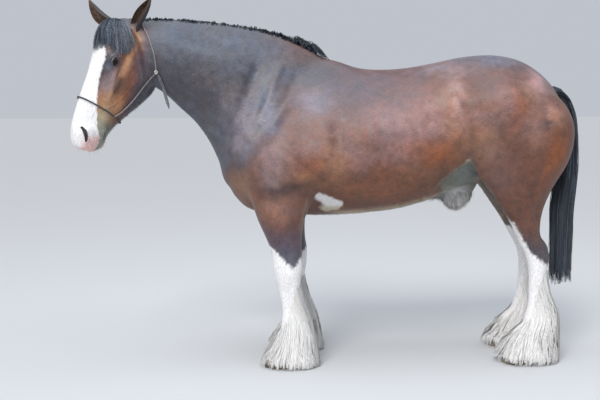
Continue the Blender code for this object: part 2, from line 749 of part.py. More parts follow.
def carve_mouth(head, matrix, tree):
    """A groove along the lips, from one corner round the front to the other."""
    path = []
    for sign in (-1, 1):
        half = []
        for along, out in MOUTH[:-1]:
            start = matrix @ Vector((along, out, sign * 0.25))
            heading = (matrix.to_3x3() @ Vector((0, 0, -sign))).normalized()
            hit = tree.ray_cast(start, heading)[0]
            half.append(hit + heading * 0.0005 if hit else matrix @ Vector((along, out, sign * 0.02)))
        path.append(half)
    front = matrix @ Vector((MOUTH[-1][0] + 0.25, MOUTH[-1][1] - 0.02, 0))
    heading = (matrix.to_3x3() @ Vector((-1, 0, 0))).normalized()
    tip = tree.ray_cast(front, heading)[0]
    line = [*path[0], tip, *path[1][::-1]]
    sizes = [0.0015, 0.0035, *[0.0042] * (len(line) - 4), 0.0035, 0.0015]
    groove = tube("groove", line, sizes, 6)
    cut(head, groove, "DIFFERENCE")
    drop(groove)


def ear(name, spine, opening):
    """A cupped, pointed ear along its spine; the cup opens towards the given side."""
    spine = [Vector(p) for p in spine]
    dense = between([(*p, w) for p, w in zip(spine, EAR_WIDTHS)], 2)
    bm = bmesh.new()
    rows = []
    count = len(dense)
    for k, row in enumerate(dense):
        spot = Vector(row[:3])
        before = Vector(dense[max(0, k - 1)][:3])
        after = Vector(dense[min(count - 1, k + 1)][:3])
        along = (after - before).normalized()
        face = (Vector(opening) - along * along.dot(Vector(opening))).normalized()
        side = along.cross(face)
        half = row[3] / 2
        wall = min(0.006, half * 0.5)
        ring = []
        for j in range(7):
            angle = math.radians(-126 + 42 * j)
            ring.append(spot - face * math.cos(angle) * half * 0.8 + side * math.sin(angle) * half)
        for j in range(7):
            angle = math.radians(126 - 42 * j)
            ring.append(spot - face * (math.cos(angle) * (half * 0.8 - wall) - wall * 0.2)
                        + side * math.sin(angle) * (half - wall))
        rows.append([bm.verts.new(p) for p in ring])
    for one, two in zip(rows, rows[1:]):
        size = len(one)
        for j in range(size):
            i = (j + 1) % size
            bm.faces.new((one[j], one[i], two[i], two[j]))
    bm.faces.new(rows[0][::-1])
    bm.faces.new(rows[-1])
    return object_from(bm, name)


def hoof(name, rows, sign, step):
    """A hoof with a flat sole, its toe sloping forward and its heel nearly upright."""
    bm = bmesh.new()
    rings = []
    for z, toe, heel, inner, outer in rows:
        moved = stepped(step, z)
        centre = Vector(((toe + heel) / 2 + moved, sign * (inner + outer) / 2, z))
        ring = []
        for k in range(14):
            angle = 2 * math.pi * k / 14
            round_x = math.cos(angle)
            squash = 1.0 if round_x < 0 else 0.94
            ring.append(centre + Vector((round_x * (heel - toe) / 2,
                                         math.sin(angle) * (outer - inner) / 2 * squash, 0)))
        rings.append(ring)
    loft(bm, rings)
    return object_from(bm, name)


def outline_at(rows, z):
    """Front x, rear x, inner y and outer y of a leg or its hair at height z."""
    table = np.array(sorted(rows), float)
    return [float(np.interp(z, table[:, 0], table[:, k])) for k in range(1, 5)]


def around(rows, z, angle, sign, step, factor=1.0):
    """Point on the outline at height z: angle 0 is the rear, 90 the outer side, 180 the front."""
    front, rear, inner, outer = outline_at(rows, z)
    moved = stepped(step, z)
    turn = math.radians(angle)
    return Vector(((front + rear) / 2 + moved + math.cos(turn) * (rear - front) / 2 * factor,
                   sign * ((inner + outer) / 2 + math.sin(turn) * (outer - inner) / 2 * factor), z))


def feather(ribs, hair, tiers, sign, step, seed):
    """Locks of leg hair: tiers that overlap like shingles down to the ground, over a short bell of hair."""
    draw = random.Random(seed)
    rings = []
    for z, share in ((tiers[0][0], -0.2), (tiers[1][0], 0.30), (tiers[2][0], 0.48), (0.15, 0.50), (0.083, 0.34)):
        ring = []
        for k in range(12):
            inner = around(ribs, z, 30 * k, sign, step)
            ring.append(inner.lerp(around(hair, z, 30 * k, sign, step), share))
        rings.append(ring)
    bm = bmesh.new()
    loft(bm, rings)
    locks = [object_from(bm, "bell")]
    for tier, (root_z, tip_z, number, spread) in enumerate(tiers):
        for k in range(number):
            if spread >= 180:
                angle = 360 * k / number + draw.uniform(-6, 6) + 18
            else:
                angle = -spread + 2 * spread * (k + 0.5) / number + draw.uniform(-6, 6)
            top = root_z + draw.uniform(-0.012, 0.012)
            low = max(0.006, tip_z + draw.uniform(-0.015, 0.02) * (1 if tip_z > 0.03 else 0.4))
            drift = draw.uniform(-9, 9)
            inside = around(ribs, top, angle, sign, step, 0.80)
            path = [inside]
            facings = []
            for part in (0.30, 0.68, 1.0):
                z = top + (low - top) * part
                turned = angle + drift * part
                outer = around(hair, z, turned, sign, step, 0.985)
                inner = around(ribs, max(z, 0.08), turned, sign, step, 1.0)
                mix = min(1.0, 0.45 + part * 0.70)
                spot = inner.lerp(outer, mix)
                spot.z = z
                path.append(spot)
            middle = around(ribs, max(low, 0.1), angle, sign, step, 0.0)
            for spot in path:
                face = Vector((spot.x - middle.x, spot.y - middle.y, 0)).normalized() + Vector((0, 0, 0.35))
                facings.append(face)
            wide = (0.070 + 0.013 * tier) * draw.uniform(0.9, 1.1)
            thick = 0.018
            locks.append(lock(path, [wide * 0.7, wide, wide, 0], [thick, thick, thick, 0], facings))
    return locks


def head_surface(tree, matrix, along, out, sign, lift):
    """Point on the side of the head, lifted off it: along and out in head axes."""
    start = matrix @ Vector((along, out, sign * 0.40))
    heading = (matrix.to_3x3() @ Vector((0, 0, -sign))).normalized()
    spot = tree.ray_cast(start, heading)[0]
    return spot - heading * lift


def face_surface(tree, matrix, along, across, lift):
    """Point on the front of the head, lifted off it."""
    start = matrix @ Vector((along, 0.30, across))
    heading = (matrix.to_3x3() @ Vector((0, -1, 0))).normalized()
    spot = tree.ray_cast(start, heading)[0]
    return spot - heading * lift


def crest_at(x):
    """Middle line of the crest of the neck at x, as y and z."""
    table = np.array(sorted((row[0], row[4], row[1]) for row in NECK_RIBS))
    return float(np.interp(x, table[:, 0], table[:, 1])), float(np.interp(x, table[:, 0], table[:, 2]))


def mane(tree, seed=5):
    """Locks from the crest that arch over it and lie down along the right side of the neck."""
    draw = random.Random(seed)
    locks = []
    number = 12
    for k in range(number):
        x = -0.945 + (0.945 - 0.10) * k / (number - 1) + draw.uniform(-0.006, 0.006)
        y, z = crest_at(x)
        long = 0.22 + 0.10 * math.sin(math.pi * (k + 0.5) / number) + draw.uniform(-0.03, 0.03)
        rise = 0.014 + draw.uniform(-0.003, 0.005)
        top = tree.ray_cast(Vector((x, y, 3.0)), Vector((0, 0, -1)))[0].z
        path = [Vector((x, y - 0.018, top - 0.030)), Vector((x + 0.004, y + 0.010, top + rise))]
        facings = [Vector((0, -1, 0.2)), Vector((0, 0.3, 1))]
        for part, lift in ((0.35, 0.020), (1.0, 0.012)):
            low = top - 0.02 - long * part
            back = x + 0.012 + 0.055 * part * part + draw.uniform(-0.008, 0.008)
            hit = tree.ray_cast(Vector((back, 1.5, low)), Vector((0, -1, 0)))[0]
            path.append(Vector((back, hit.y + lift, low)))
            facings.append(Vector((0, 1, 0.35)))
        wide = 0.086 * draw.uniform(0.95, 1.08)
        locks.append(lock(path, [wide * 0.95, wide, wide, 0], [0.016, 0.017, 0.018, 0], facings))
    # the tuft in front of the withers
    for k in range(3):
        x = -0.180 + 0.035 * k
        y, z = crest_at(x)
        top = tree.ray_cast(Vector((x, 0, 3.0)), Vector((0, 0, -1)))[0].z
        reach = 0.075 + 0.012 * k
        end = tree.ray_cast(Vector((x + reach + 0.03, 0.02, 3.0)), Vector((0, 0, -1)))[0].z
        side = draw.uniform(-0.012, 0.02)
        path = [Vector((x - 0.01, 0, top - 0.02)), Vector((x + reach * 0.45, side, top + 0.026)),
                Vector((x + reach + 0.03, side * 2, end + 0.014))]
        locks.append(lock(path, [0.05, 0.05, 0], [0.030, 0.026, 0],
                          [Vector((-0.6, 0, 1)), Vector((-0.1, 0, 1)), Vector((0, 0, 1))]))
    return locks


def forelock(tree, matrix, seed=11):
    """Locks from the poll that swell over the forehead and end above the eyes, most to the left."""
    draw = random.Random(seed)
    locks = []
    number = 6
    for k in range(number):
        side = -1 + 2 * k / (number - 1)
        start = 0.062 * side - 0.006
        end = 0.088 * side - 0.022
        stop = 0.205 - 0.035 * abs(side) + draw.uniform(-0.012, 0.012)
        path = [face_surface(tree, matrix, 0.045, start, -0.030)]
        facings = [matrix.to_3x3() @ Vector((-1, 0.3, 0))]
        for part, lift in ((0.06, 0.034), (0.55, 0.034), (1.0, 0.008)):
            along = 0.030 + (stop - 0.030) * part
            across = start + (end - start) * part + draw.uniform(-0.004, 0.004)
            path.append(face_surface(tree, matrix, along, across, lift * (1 - 0.3 * abs(side))))
            facings.append(matrix.to_3x3() @ Vector((-0.3, 1, 0.5 * side)))
        wide = 0.048 * draw.uniform(0.9, 1.15)
        locks.append(lock(path, [wide * 0.8, wide, wide * 1.1, 0], [0.018, 0.022, 0.018, 0], facings))
    return locks


# Tail: middle line as x, z, then half-depth along x and half-width along y
TAIL_CORE = (
    (1.225, 1.495, 0.030, 0.032),
    (1.300, 1.478, 0.040, 0.046),
    (1.352, 1.395, 0.036, 0.052),
    (1.372, 1.260, 0.034, 0.054),
    (1.374, 1.100, 0.036, 0.056),
    (1.370, 0.940, 0.034, 0.050),
    (1.366, 0.820, 0.016, 0.022),
)


def tail_line(z):
    table = np.array([(row[1], row[0]) for row in TAIL_CORE[::-1]])
    return float(np.interp(z, table[:, 0], table[:, 1]))


def tail(seed=3):
    rings = []
    rows = between(TAIL_CORE, 2)
    for k, (x, z, deep, wide) in enumerate(rows):
        before = rows[max(0, k - 1)]
        after = rows[min(len(rows) - 1, k + 1)]
        along = Vector((after[0] - before[0], 0, after[1] - before[1])).normalized()
        rear = Vector((-along.z, 0, along.x))
        rings.append([Vector((x, 0, z)) + rear * math.cos(2 * math.pi * j / 10) * deep
                      + Vector((0, math.sin(2 * math.pi * j / 10) * wide, 0)) for j in range(10)])
    bm = bmesh.new()
    loft(bm, rings)
    core = object_from(bm, "tail")
    draw = random.Random(seed)
    locks = []
    number = 11
    for k in range(number):
        turn = (k * 137.5) % 200 - 100
        face = Vector((math.cos(math.radians(turn)), math.sin(math.radians(turn)), 0))
        part = (k + 0.5) / number
        top = 1.43 - 0.50 * part
        low = 0.66 - 0.25 * part + draw.uniform(-0.03, 0.03)
        root = Vector((tail_line(top), 0, top)) + Vector((face.x * 0.012, face.y * 0.02, 0))
        end = Vector((1.350 + face.x * 0.055 + draw.uniform(-0.02, 0.01), face.y * 0.055, low))
        if k % 4 == 3:
            end.x = 1.315 + draw.uniform(-0.015, 0.01)
        path = [root]
        for step in (0.16, 0.58):
            z = top + (low - top) * step
            spot = Vector((tail_line(z), 0, z))
            swell_x = 0.040 + 0.012 * math.sin(math.pi * step)
            spot += Vector((face.x * swell_x, face.y * (0.062 + 0.010 * math.sin(math.pi * step)), 0))
            path.append(spot.lerp(Vector((end.x, end.y, z)), step * step))
        path.append(end)
        wide = 0.060 * draw.uniform(0.9, 1.1)
        facing = face + Vector((0, 0, 0.15))
        locks.append(lock(path, [wide * 0.6, wide, wide * 1.1, 0], [0.016, 0.020, 0.020, 0], [facing] * 4))
    return core, locks


def halter(tree, matrix):
    """A cord round the nose, one up each cheek and one behind the ears, all one piece."""
    radius = 0.0050
    lift = radius + 0.0026
    centre = Vector((0.515, -0.130, 0))
    nose = []
    for k in range(20):
        angle = 2 * math.pi * k / 20
        out = Vector((-0.14 * math.cos(angle), math.cos(angle), math.sin(angle))).normalized()
        start = matrix @ (centre + out * 0.3)
        heading = (matrix.to_3x3() @ out).normalized()
        nose.append(tree.ray_cast(start, -heading)[0] + heading * lift)
    band = tube("halter_cords", nose, radius, 5, closed=True)
    cheeks = []
    for sign in (-1, 1):
        cheeks.append([head_surface(tree, matrix, along, out, sign, lift)
                       for along, out in ((0.528, -0.205), (0.495, -0.232), (0.447, -0.255), (0.390, -0.272),
                                          (0.330, -0.282), (0.275, -0.283), (0.235, -0.280))])
    crown = []
    middle = Vector((0.170, -0.240, 0))
    top = Vector((-0.846, 0.533, 0))
    for k in range(14):
        angle = math.radians(-106 + 212 * k / 13)
        out = (top * math.cos(angle) + Vector((0, 0, 1)) * math.sin(angle)).normalized()
        heading = (matrix.to_3x3() @ out).normalized()
        start = matrix @ (middle + out * 0.5)
        crown.append(tree.ray_cast(start, -heading)[0] + heading * lift)
    path = [*cheeks[0], *crown[1:-1], *cheeks[1][::-1]]
    fuse(band, [tube("headpiece", path, radius * 0.95, 5)])
    studs = []
    for sign, side, spot in ((-1, "left", cheeks[0][-1]), (1, "right", cheeks[1][-1])):
        local = matrix.inverted() @ spot
        seat = head_surface(tree, matrix, local.x + 0.003, local.y, sign, 2 * radius + 0.0080)
        stud = ball(f"halter_stud_{side}", seat, 0.012, 10, 6)
        for vertex in stud.data.vertices:
            offset = vertex.co - seat
            out = matrix.to_3x3() @ Vector((0, 0, sign))
            vertex.co = seat + offset - out * offset.dot(out) * 0.6
        studs.append(stud)
    # the loose end of the strap hangs beside the throat
    path = []
    for x, z in ((-0.905, 1.585), (-0.893, 1.550), (-0.880, 1.510), (-0.868, 1.465), (-0.856, 1.420)):
        hit = tree.ray_cast(Vector((x, -1.5, z)), Vector((0, 1, 0)))[0]
        y = hit.y - 0.010 if hit and hit.y < 0 else path[-1].y + 0.002
        path.append(Vector((x, y, z)))
    strap = lock([*path, path[-1] + Vector((0.004, 0.0, -0.018))], [0.016, 0.018, 0.018, 0.018, 0.016, 0],
                 [0.006] * 5 + [0], [Vector((0, -1, 0))] * 6, "halter_strap_end")
    return band, studs, strap


# Colour and roughness of each kind of surface
COATS = {
    "head": ((0.13, 0.075, 0.05), 0.65),
    "ear": ((0.06, 0.04, 0.03), 0.7),
    "eye": ((0.012, 0.008, 0.006), 0.12),
    "neck": ((0.035, 0.034, 0.036), 0.6),
    "torso": ((0.15, 0.075, 0.045), 0.55),
    "tail": ((0.03, 0.032, 0.036), 0.7),
    "fore_upper": ((0.09, 0.05, 0.035), 0.6),
    "fore_lower": ((0.80, 0.78, 0.74), 0.8),
    "hind_upper": ((0.16, 0.075, 0.04), 0.55),
    "hind_lower": ((0.80, 0.78, 0.74), 0.8),
    "hoof": ((0.10, 0.085, 0.07), 0.55),
    "halter_cords": ((0.05, 0.035, 0.028), 0.6),
    "halter_stud": ((0.70, 0.62, 0.45), 0.3),
    "halter_strap_end": ((0.05, 0.035, 0.028), 0.6),
}


def paint(obj):
    """Each sub-part has a surface of its own."""
    kind = max((key for key in COATS if obj.name.startswith(key)), key=len)
    colour, rough = COATS[kind]
    surface = bpy.data.materials.new(f"{obj.name}_surface")
    surface.use_nodes = True
    shader = surface.node_tree.nodes["Principled BSDF"]
    shader.inputs["Base Color"].default_value = (*colour, 1)
    shader.inputs["Roughness"].default_value = rough
    shader.inputs["Metallic"].default_value = 1.0 if kind == "halter_stud" else 0.0
    obj.data.materials.clear()
    obj.data.materials.append(surface)
    for face in obj.data.polygons:
        face.use_smooth = True


def centre_all(objects):
    """Moves everything so that the middle of its box lies over the origin and the soles on the floor."""
    corners = np.concatenate([np.array([v.co[:] for v in obj.data.vertices]) for obj in objects])
    low = corners.min(axis=0)
    high = corners.max(axis=0)
    shift = Vector((-(low[0] + high[0]) / 2, -(low[1] + high[1]) / 2, -low[2]))
    for obj in objects:
        obj.data.transform(Matrix.Translation(shift))


def main():
    clear_scene()
    body = whole_body()
    matrix = head_matrix()
    (x0, z0), (x1, z1) = HEAD_CUT
    head_mid = Vector((x0, 0, z0))
    across = Vector((math.sin(HEAD_CUT_TURN), -math.cos(HEAD_CUT_TURN), 0))
    head_side = across.cross(Vector((x1 - x0, 0, z1 - z0))).normalized()
    if head_side.x > 0:
        head_side = -head_side

    def near_head(point):
        return (point - head_mid).dot(head_side) > -0.03

    thin(body, near_head, 900)
    thin(body, lambda point: point.z < 0.74, 500)
    thin(body, lambda point: point.z > 0.55 and (point - head_mid).dot(head_side) < 0.03, 1400)
    tidy(body)
    graph = bpy.context.evaluated_depsgraph_get()
    tree = BVHTree.FromObject(body, graph)

    trunk = body
    trunk.name = "torso"
    along = Vector((NECK_CUT[1][0] - NECK_CUT[0][0], 0, NECK_CUT[1][1] - NECK_CUT[0][1]))
    neck_side = Vector((along.z, 0, -along.x))
    neck = part_at(trunk, "neck", (NECK_CUT[0][0], 0, NECK_CUT[0][1]), neck_side)
    head = part_at(neck, "head", head_mid, head_side)
    uppers = []
    lowers = []
    hooves = []
    legs = (
        ("fore", -1, FORE_CUT, FORE_RIBS, FORE_FEATHER, FORE_TIERS, FORE_HOOF, SQUARE, KNEE_Z),
        ("fore", 1, FORE_CUT, FORE_RIBS, FORE_FEATHER, FORE_TIERS, FORE_HOOF, FAR_FORE_STEP, KNEE_Z),
        ("hind", -1, HIND_CUT, HIND_RIBS, HIND_FEATHER, HIND_TIERS, HIND_HOOF, SQUARE, HOCK_Z),
        ("hind", 1, HIND_CUT, HIND_RIBS, HIND_FEATHER, HIND_TIERS, HIND_HOOF, FAR_HIND_STEP, HOCK_Z),
    )
    for seed, (kind, sign, slope, ribs, hair, tiers, hoof_rows, step, knee) in enumerate(legs):
        side = "left" if sign < 0 else "right"
        (y0, z0), (y1, z1) = slope
        wall = ((FORE_BACK, 0, 0), (-1, 0, 0)) if kind == "fore" else ((HIND_FRONT, 0, 0), (1, 0, 0))
        planes = [((0, sign * y0, z0), (0, sign * (z1 - z0), y0 - y1)), wall, ((0, sign * 0.005, 0), (0, sign, 0))]
        upper = copy_of(trunk, f"{kind}_upper_{side}")
        space = block("space", planes)
        cut(upper, space, "INTERSECT")
        drop(space)
        space = block("space", planes, GAP)
        cut(trunk, space, "DIFFERENCE")
        drop(space)
        lower = part_at(upper, f"{kind}_lower_{side}", (0, 0, knee), (0, 0, -1))
        keep_side(lower, Vector((0, 0, HOOF_Z + GAP)), Vector((0, 0, 1)))
        foot = hoof(f"hoof_{kind}_{side}", hoof_rows, sign, step)
        fuse(lower, feather(ribs, hair, tiers, sign, step, 20 + seed))
        clear_of(lower, [foot])
        uppers.append(upper)
        lowers.append(lower)
        hooves.append(foot)
    carve_nostrils(head, matrix, tree)
    carve_mouth(head, matrix, tree)
    eyes = make_eyes(head, matrix, tree)
    fuse(head, forelock(tree, matrix))
    fuse(neck, mane(tree))
    clear_of(neck, [trunk, head])
    ears = [ear("ear_left", LEFT_EAR, LEFT_EAR_OPENS), ear("ear_right", RIGHT_EAR, RIGHT_EAR_OPENS)]
    cords, studs, strap = halter(tree, matrix)
    clear_of(cords, [head], 0.0012)
    for stud in studs:
        clear_of(stud, [cords])
    clear_of(strap, [cords, *studs])
    clear_of(ears[0], [head, cords])
    clear_of(ears[1], [head, cords])
    rear, locks = tail()
    fuse(rear, locks)
    clear_of(rear, [trunk, *[upper for upper in uppers if "hind" in upper.name]])

    objects = [head, neck, trunk, rear, *uppers, *lowers, *hooves, *ears, *eyes, cords, *studs, strap]
    for obj in objects:
        tidy(obj)
        paint(obj)
    centre_all(objects)


main()
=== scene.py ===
"""The looks of a shire horse: one seamless skin with its coat, mane, forelock, tail and leg hair.

Metres, +Z up, the nose towards -X and the horse's left side towards -Y. The forms are drawn in a drawing
frame and moved by SHIFT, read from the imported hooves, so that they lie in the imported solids. The long
tables are in millimetres.
"""
import math

import bmesh
import bpy
import numpy as np
from mathutils import Matrix, Vector
from mathutils.bvhtree import BVHTree


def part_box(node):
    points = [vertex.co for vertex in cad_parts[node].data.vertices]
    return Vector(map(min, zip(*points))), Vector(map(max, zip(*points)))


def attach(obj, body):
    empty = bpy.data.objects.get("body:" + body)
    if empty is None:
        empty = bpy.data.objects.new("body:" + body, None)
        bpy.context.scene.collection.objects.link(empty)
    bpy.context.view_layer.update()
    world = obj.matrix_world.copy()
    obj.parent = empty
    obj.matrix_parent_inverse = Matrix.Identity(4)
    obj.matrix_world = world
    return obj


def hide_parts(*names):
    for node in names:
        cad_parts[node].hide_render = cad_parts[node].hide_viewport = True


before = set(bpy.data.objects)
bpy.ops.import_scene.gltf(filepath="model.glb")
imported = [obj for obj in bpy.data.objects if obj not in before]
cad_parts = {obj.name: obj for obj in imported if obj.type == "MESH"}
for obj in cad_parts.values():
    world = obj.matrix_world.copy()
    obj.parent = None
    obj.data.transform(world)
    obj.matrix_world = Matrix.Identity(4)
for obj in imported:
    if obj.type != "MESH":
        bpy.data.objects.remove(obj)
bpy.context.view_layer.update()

HOOF_TOE_X = -0.352            # toe of the left fore hoof in the drawing frame
HOOF_MIDDLE_Y = -0.184         # its middle line there
LOW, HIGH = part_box("hoof_fore_left")
SHIFT = Vector((LOW.x - HOOF_TOE_X, (LOW.y + HIGH.y) / 2 - HOOF_MIDDLE_Y, 0))

VOXEL = 0.0090                 # cell of the mesh that fuses the body
COAT_DEPTH = 0.0022            # how far the skin lies inside the solids
RIB_SIDE = 18                  # points down one side of a rib
STEPS = 5                      # ribs drawn between two named ones

# Head pose: the face line hangs this steep, and the head looks this far to the horse's left
FACE_DROP = math.radians(66.6)
HEAD_YAW = math.radians(32.0)
HEAD_ORIGIN = Vector((-1.155, -0.085, 1.927))


def mm(rows):
    """A table in millimetres, carried over to metres."""
    return tuple(mm(row) if isinstance(row, tuple) else row / 1000 for row in rows)


# Torso ribs: x, top z, bottom z, then half-widths at the top, upper, lower and bottom level
TORSO_RIBS = mm((
    (-520, 1200, 930, 70, 120, 130, 110), (-430, 1400, 845, 90, 190, 230, 190),
    (-280, 1560, 812, 90, 230, 290, 220), (-120, 1680, 806, 80, 250, 325, 240),
    (40, 1672, 806, 100, 295, 355, 270), (200, 1622, 815, 170, 335, 375, 300),
    (400, 1620, 840, 220, 355, 385, 320), (580, 1650, 888, 240, 360, 375, 310),
    (740, 1688, 950, 250, 365, 350, 280), (900, 1705, 1000, 260, 370, 340, 240),
    (1050, 1680, 1030, 260, 355, 320, 200), (1170, 1615, 1080, 220, 300, 270, 160),
    (1265, 1525, 1150, 150, 200, 180, 120), (1325, 1430, 1250, 70, 90, 80, 60)))
# Neck ribs: crest x, crest z, throat x, throat z, sideways shift, then the four half-widths
NECK_RIBS = mm((
    (40, 1660, -420, 900, 0, 70, 170, 260, 220), (-120, 1750, -555, 980, 0, 60, 150, 230, 190),
    (-300, 1820, -595, 1115, -2, 50, 125, 185, 150), (-480, 1857, -645, 1225, -8, 45, 110, 150, 120),
    (-660, 1877, -715, 1325, -22, 42, 100, 130, 100), (-820, 1888, -800, 1405, -45, 42, 92, 115, 90),
    (-950, 1888, -870, 1475, -70, 45, 88, 105, 85), (-1060, 1868, -980, 1560, -100, 35, 65, 75, 50)))
# Head ribs in head axes: distance down the face, top and bottom depth, then the four half-widths
HEAD_RIBS = mm((
    (0, -85, -250, 70, 75, 70, 55), (40, -38, -310, 100, 85, 88, 75), (100, -12, -355, 135, 98, 100, 85),
    (170, -2, -392, 155, 105, 106, 88), (240, 0, -408, 180, 107, 108, 86),
    (310, -1, -405, 130, 102, 108, 82), (380, -3, -372, 90, 88, 93, 72), (460, -4, -318, 74, 77, 77, 62),
    (540, -7, -270, 66, 68, 65, 56), (610, -13, -238, 62, 66, 62, 53), (670, -24, -225, 62, 70, 62, 50),
    (715, -45, -208, 54, 65, 57, 42), (745, -78, -175, 38, 45, 40, 28)))
# Leg ribs: z, front x, rear x, inner y, outer y
FORE_RIBS = mm((
    (1350, -320, -140, 100, 190), (1220, -400, -50, 50, 290), (1080, -440, -20, 40, 325),
    (980, -438, -55, 45, 325), (900, -415, -85, 60, 312), (820, -385, -122, 80, 295),
    (740, -350, -138, 95, 275), (660, -320, -143, 105, 258), (600, -304, -138, 112, 252),
    (530, -300, -138, 110, 254), (470, -288, -146, 122, 244), (410, -270, -152, 135, 232),
    (320, -252, -155, 140, 228), (250, -255, -140, 132, 236), (205, -262, -140, 130, 238),
    (155, -280, -165, 134, 234), (100, -302, -165, 120, 248), (60, -315, -165, 114, 254)))
HIND_RIBS = mm((
    (1570, 880, 1080, 50, 200), (1470, 770, 1245, 0, 320), (1340, 755, 1332, 5, 352),
    (1220, 765, 1345, 10, 356), (1100, 785, 1312, 25, 345), (1000, 845, 1252, 50, 320),
    (900, 920, 1200, 85, 290), (800, 985, 1172, 110, 265), (710, 1030, 1175, 125, 250),
    (640, 1065, 1212, 128, 246), (585, 1090, 1226, 126, 248), (510, 1108, 1212, 132, 242),
    (420, 1110, 1200, 145, 232), (330, 1108, 1198, 148, 228), (250, 1090, 1196, 140, 236),
    (205, 1075, 1190, 138, 238), (155, 1045, 1160, 140, 236), (100, 1015, 1150, 128, 248),
    (60, 1002, 1150, 122, 254)))
# Sheath: x, z and radius
SHEATH = mm((
    (620, 935, 15), (680, 912, 45), (740, 905, 52), (800, 930, 45), (860, 980, 20)))
# How far behind the left foot each right one stands, by height
SQUARE = ((0.0, 0.0), (1.0, 0.0))
FAR_FORE_STEP = ((0.60, 0.052), (1.25, 0.0))
FAR_HIND_STEP = ((0.10, 0.022), (0.45, 0.045), (0.60, 0.045), (1.25, 0.0))

# Soft swellings, mirrored: place x, y, z, size along x, y, z, and height. In turn: point of hip, stifle,
# hollow of the flank, point of shoulder, triceps, shoulder blade, groove before it, hollow behind it,
# point of buttock, thigh, forearm, gaskin and furrow of the croup
BODY_RELIEF = mm((
    (660, 300, 1530, 90, 120, 70, 30), (800, 340, 1130, 100, 120, 100, 20),
    (620, 330, 1340, 100, 120, 120, -26), (-420, 200, 1140, 100, 120, 120, 26),
    (-100, 300, 1100, 150, 140, 130, 26), (-240, 220, 1420, 100, 140, 220, 22),
    (-400, 200, 1450, 70, 140, 220, -16), (80, 250, 1420, 100, 160, 180, -14),
    (1240, 270, 1360, 100, 140, 140, 14), (1000, 320, 1360, 140, 140, 160, 12),
    (-340, 250, 830, 60, 100, 120, 10), (1020, 270, 880, 60, 100, 100, 10),
    (950, 0, 1720, 350, 50, 100, -12)))
# Finer folds that the solids leave out: two of the breast, elbow, flank, ham, thigh, buttocks, knee,
# tendon, hock and the hollow before its tendon
BODY_FOLDS = mm((
    (-460, 0, 1020, 100, 18, 140, -14), (-460, 90, 1060, 80, 60, 100, 8),
    (-120, 280, 955, 60, 100, 22, -7), (-85, 280, 995, 40, 80, 30, 6), (700, 300, 1020, 30, 90, 70, 7),
    (1240, 160, 1200, 70, 100, 20, -4), (1130, 330, 1250, 20, 120, 170, -6),
    (1270, 0, 1300, 100, 30, 160, -20), (-290, 260, 575, 30, 50, 35, 4), (-222, 250, 580, 20, 30, 60, -4),
    (-180, 260, 400, 12, 50, 90, 3), (1140, 250, 560, 30, 50, 50, -5), (1190, 220, 655, 30, 50, 30, 5),
    (1120, 260, 790, 18, 40, 70, -5)))
# Ridges and grooves drawn on the side view of the left half, as x, z points, width and height: edge and
# spine of the shoulder blade, triceps, throat, veins of the belly, thigh, creases, scar, and the
# grooves of forearm, hock and cannons
BODY_LINES = mm((
    (((-360, 1660), (-440, 1480), (-500, 1320), (-500, 1170)), 30, -8),
    (((-240, 1660), (-310, 1480), (-400, 1280)), 26, 8),
    (((-150, 1620), (-230, 1450), (-320, 1270)), 26, -4),
    (((-340, 1050), (-240, 995), (-120, 985), (-30, 1030)), 24, -11),
    (((-20, 1030), (50, 1160), (30, 1350)), 38, -9), (((-280, 1220), (-160, 1120), (-80, 1040)), 16, -4),
    (((-900, 1550), (-720, 1420), (-580, 1250)), 24, -8),
    (((-800, 1780), (-550, 1700), (-360, 1580)), 30, -4), (((0, 930), (200, 925), (420, 975)), 7, 3.2),
    (((420, 975), (520, 1030)), 6, 2.6), (((640, 1520), (700, 1340), (750, 1190)), 38, -12),
    (((1130, 1520), (1170, 1300), (1150, 1100), (1110, 960)), 24, -8),
    (((920, 1220), (980, 1080), (1040, 920)), 22, -5), (((990, 933), (1050, 923), (1110, 930)), 7, -4.5),
    (((1135, 1315), (1165, 1330), (1190, 1336)), 7, -4.5), (((1150, 1290), (1170, 1296)), 5, -3),
    (((-310, 950), (-275, 800), (-245, 680)), 14, -6), (((-200, 920), (-190, 800), (-180, 700)), 13, -4),
    (((1115, 870), (1150, 750), (1172, 665)), 12, -7), (((1020, 900), (1060, 800), (1090, 700)), 14, -4),
    (((-205, 470), (-207, 360), (-202, 280)), 10, -4), (((1157, 520), (1153, 400), (1147, 300)), 10, -4)))
RIBS = tuple((((x - 0.02, 1.40), (x + 0.015, 1.18), (x - 0.015, 1.00)), 0.026, 0.0028)
             for x in (0.14, 0.225, 0.31, 0.395, 0.48, 0.56))
# The same on the face, as points down it and out of it: folds above and under the eye, folds of the
# muzzle, facial crest, edge of the cheek muscle, veins and hollow of the temple
FACE_LINES = mm((
    (((212, -64), (232, -47), (262, -42)), 4, -2.2), (((200, -56), (228, -34), (266, -28)), 4.5, -1.6),
    (((255, -104), (285, -106)), 3.5, -1.4), (((298, -86), (330, -112)), 6, -2.5),
    (((605, -120), (622, -150), (612, -176)), 6, -2.2), (((632, -125), (650, -160), (660, -178)), 5, -1.4),
    (((300, -105), (370, -124), (440, -138)), 8, 3.5), (((150, -300), (250, -350), (340, -345)), 20, -5),
    (((300, -240), (380, -215), (440, -200)), 6, 2.2), (((440, -200), (500, -150), (540, -105)), 5, 2),
    (((100, -60), (160, -80), (205, -105)), 14, -6)))
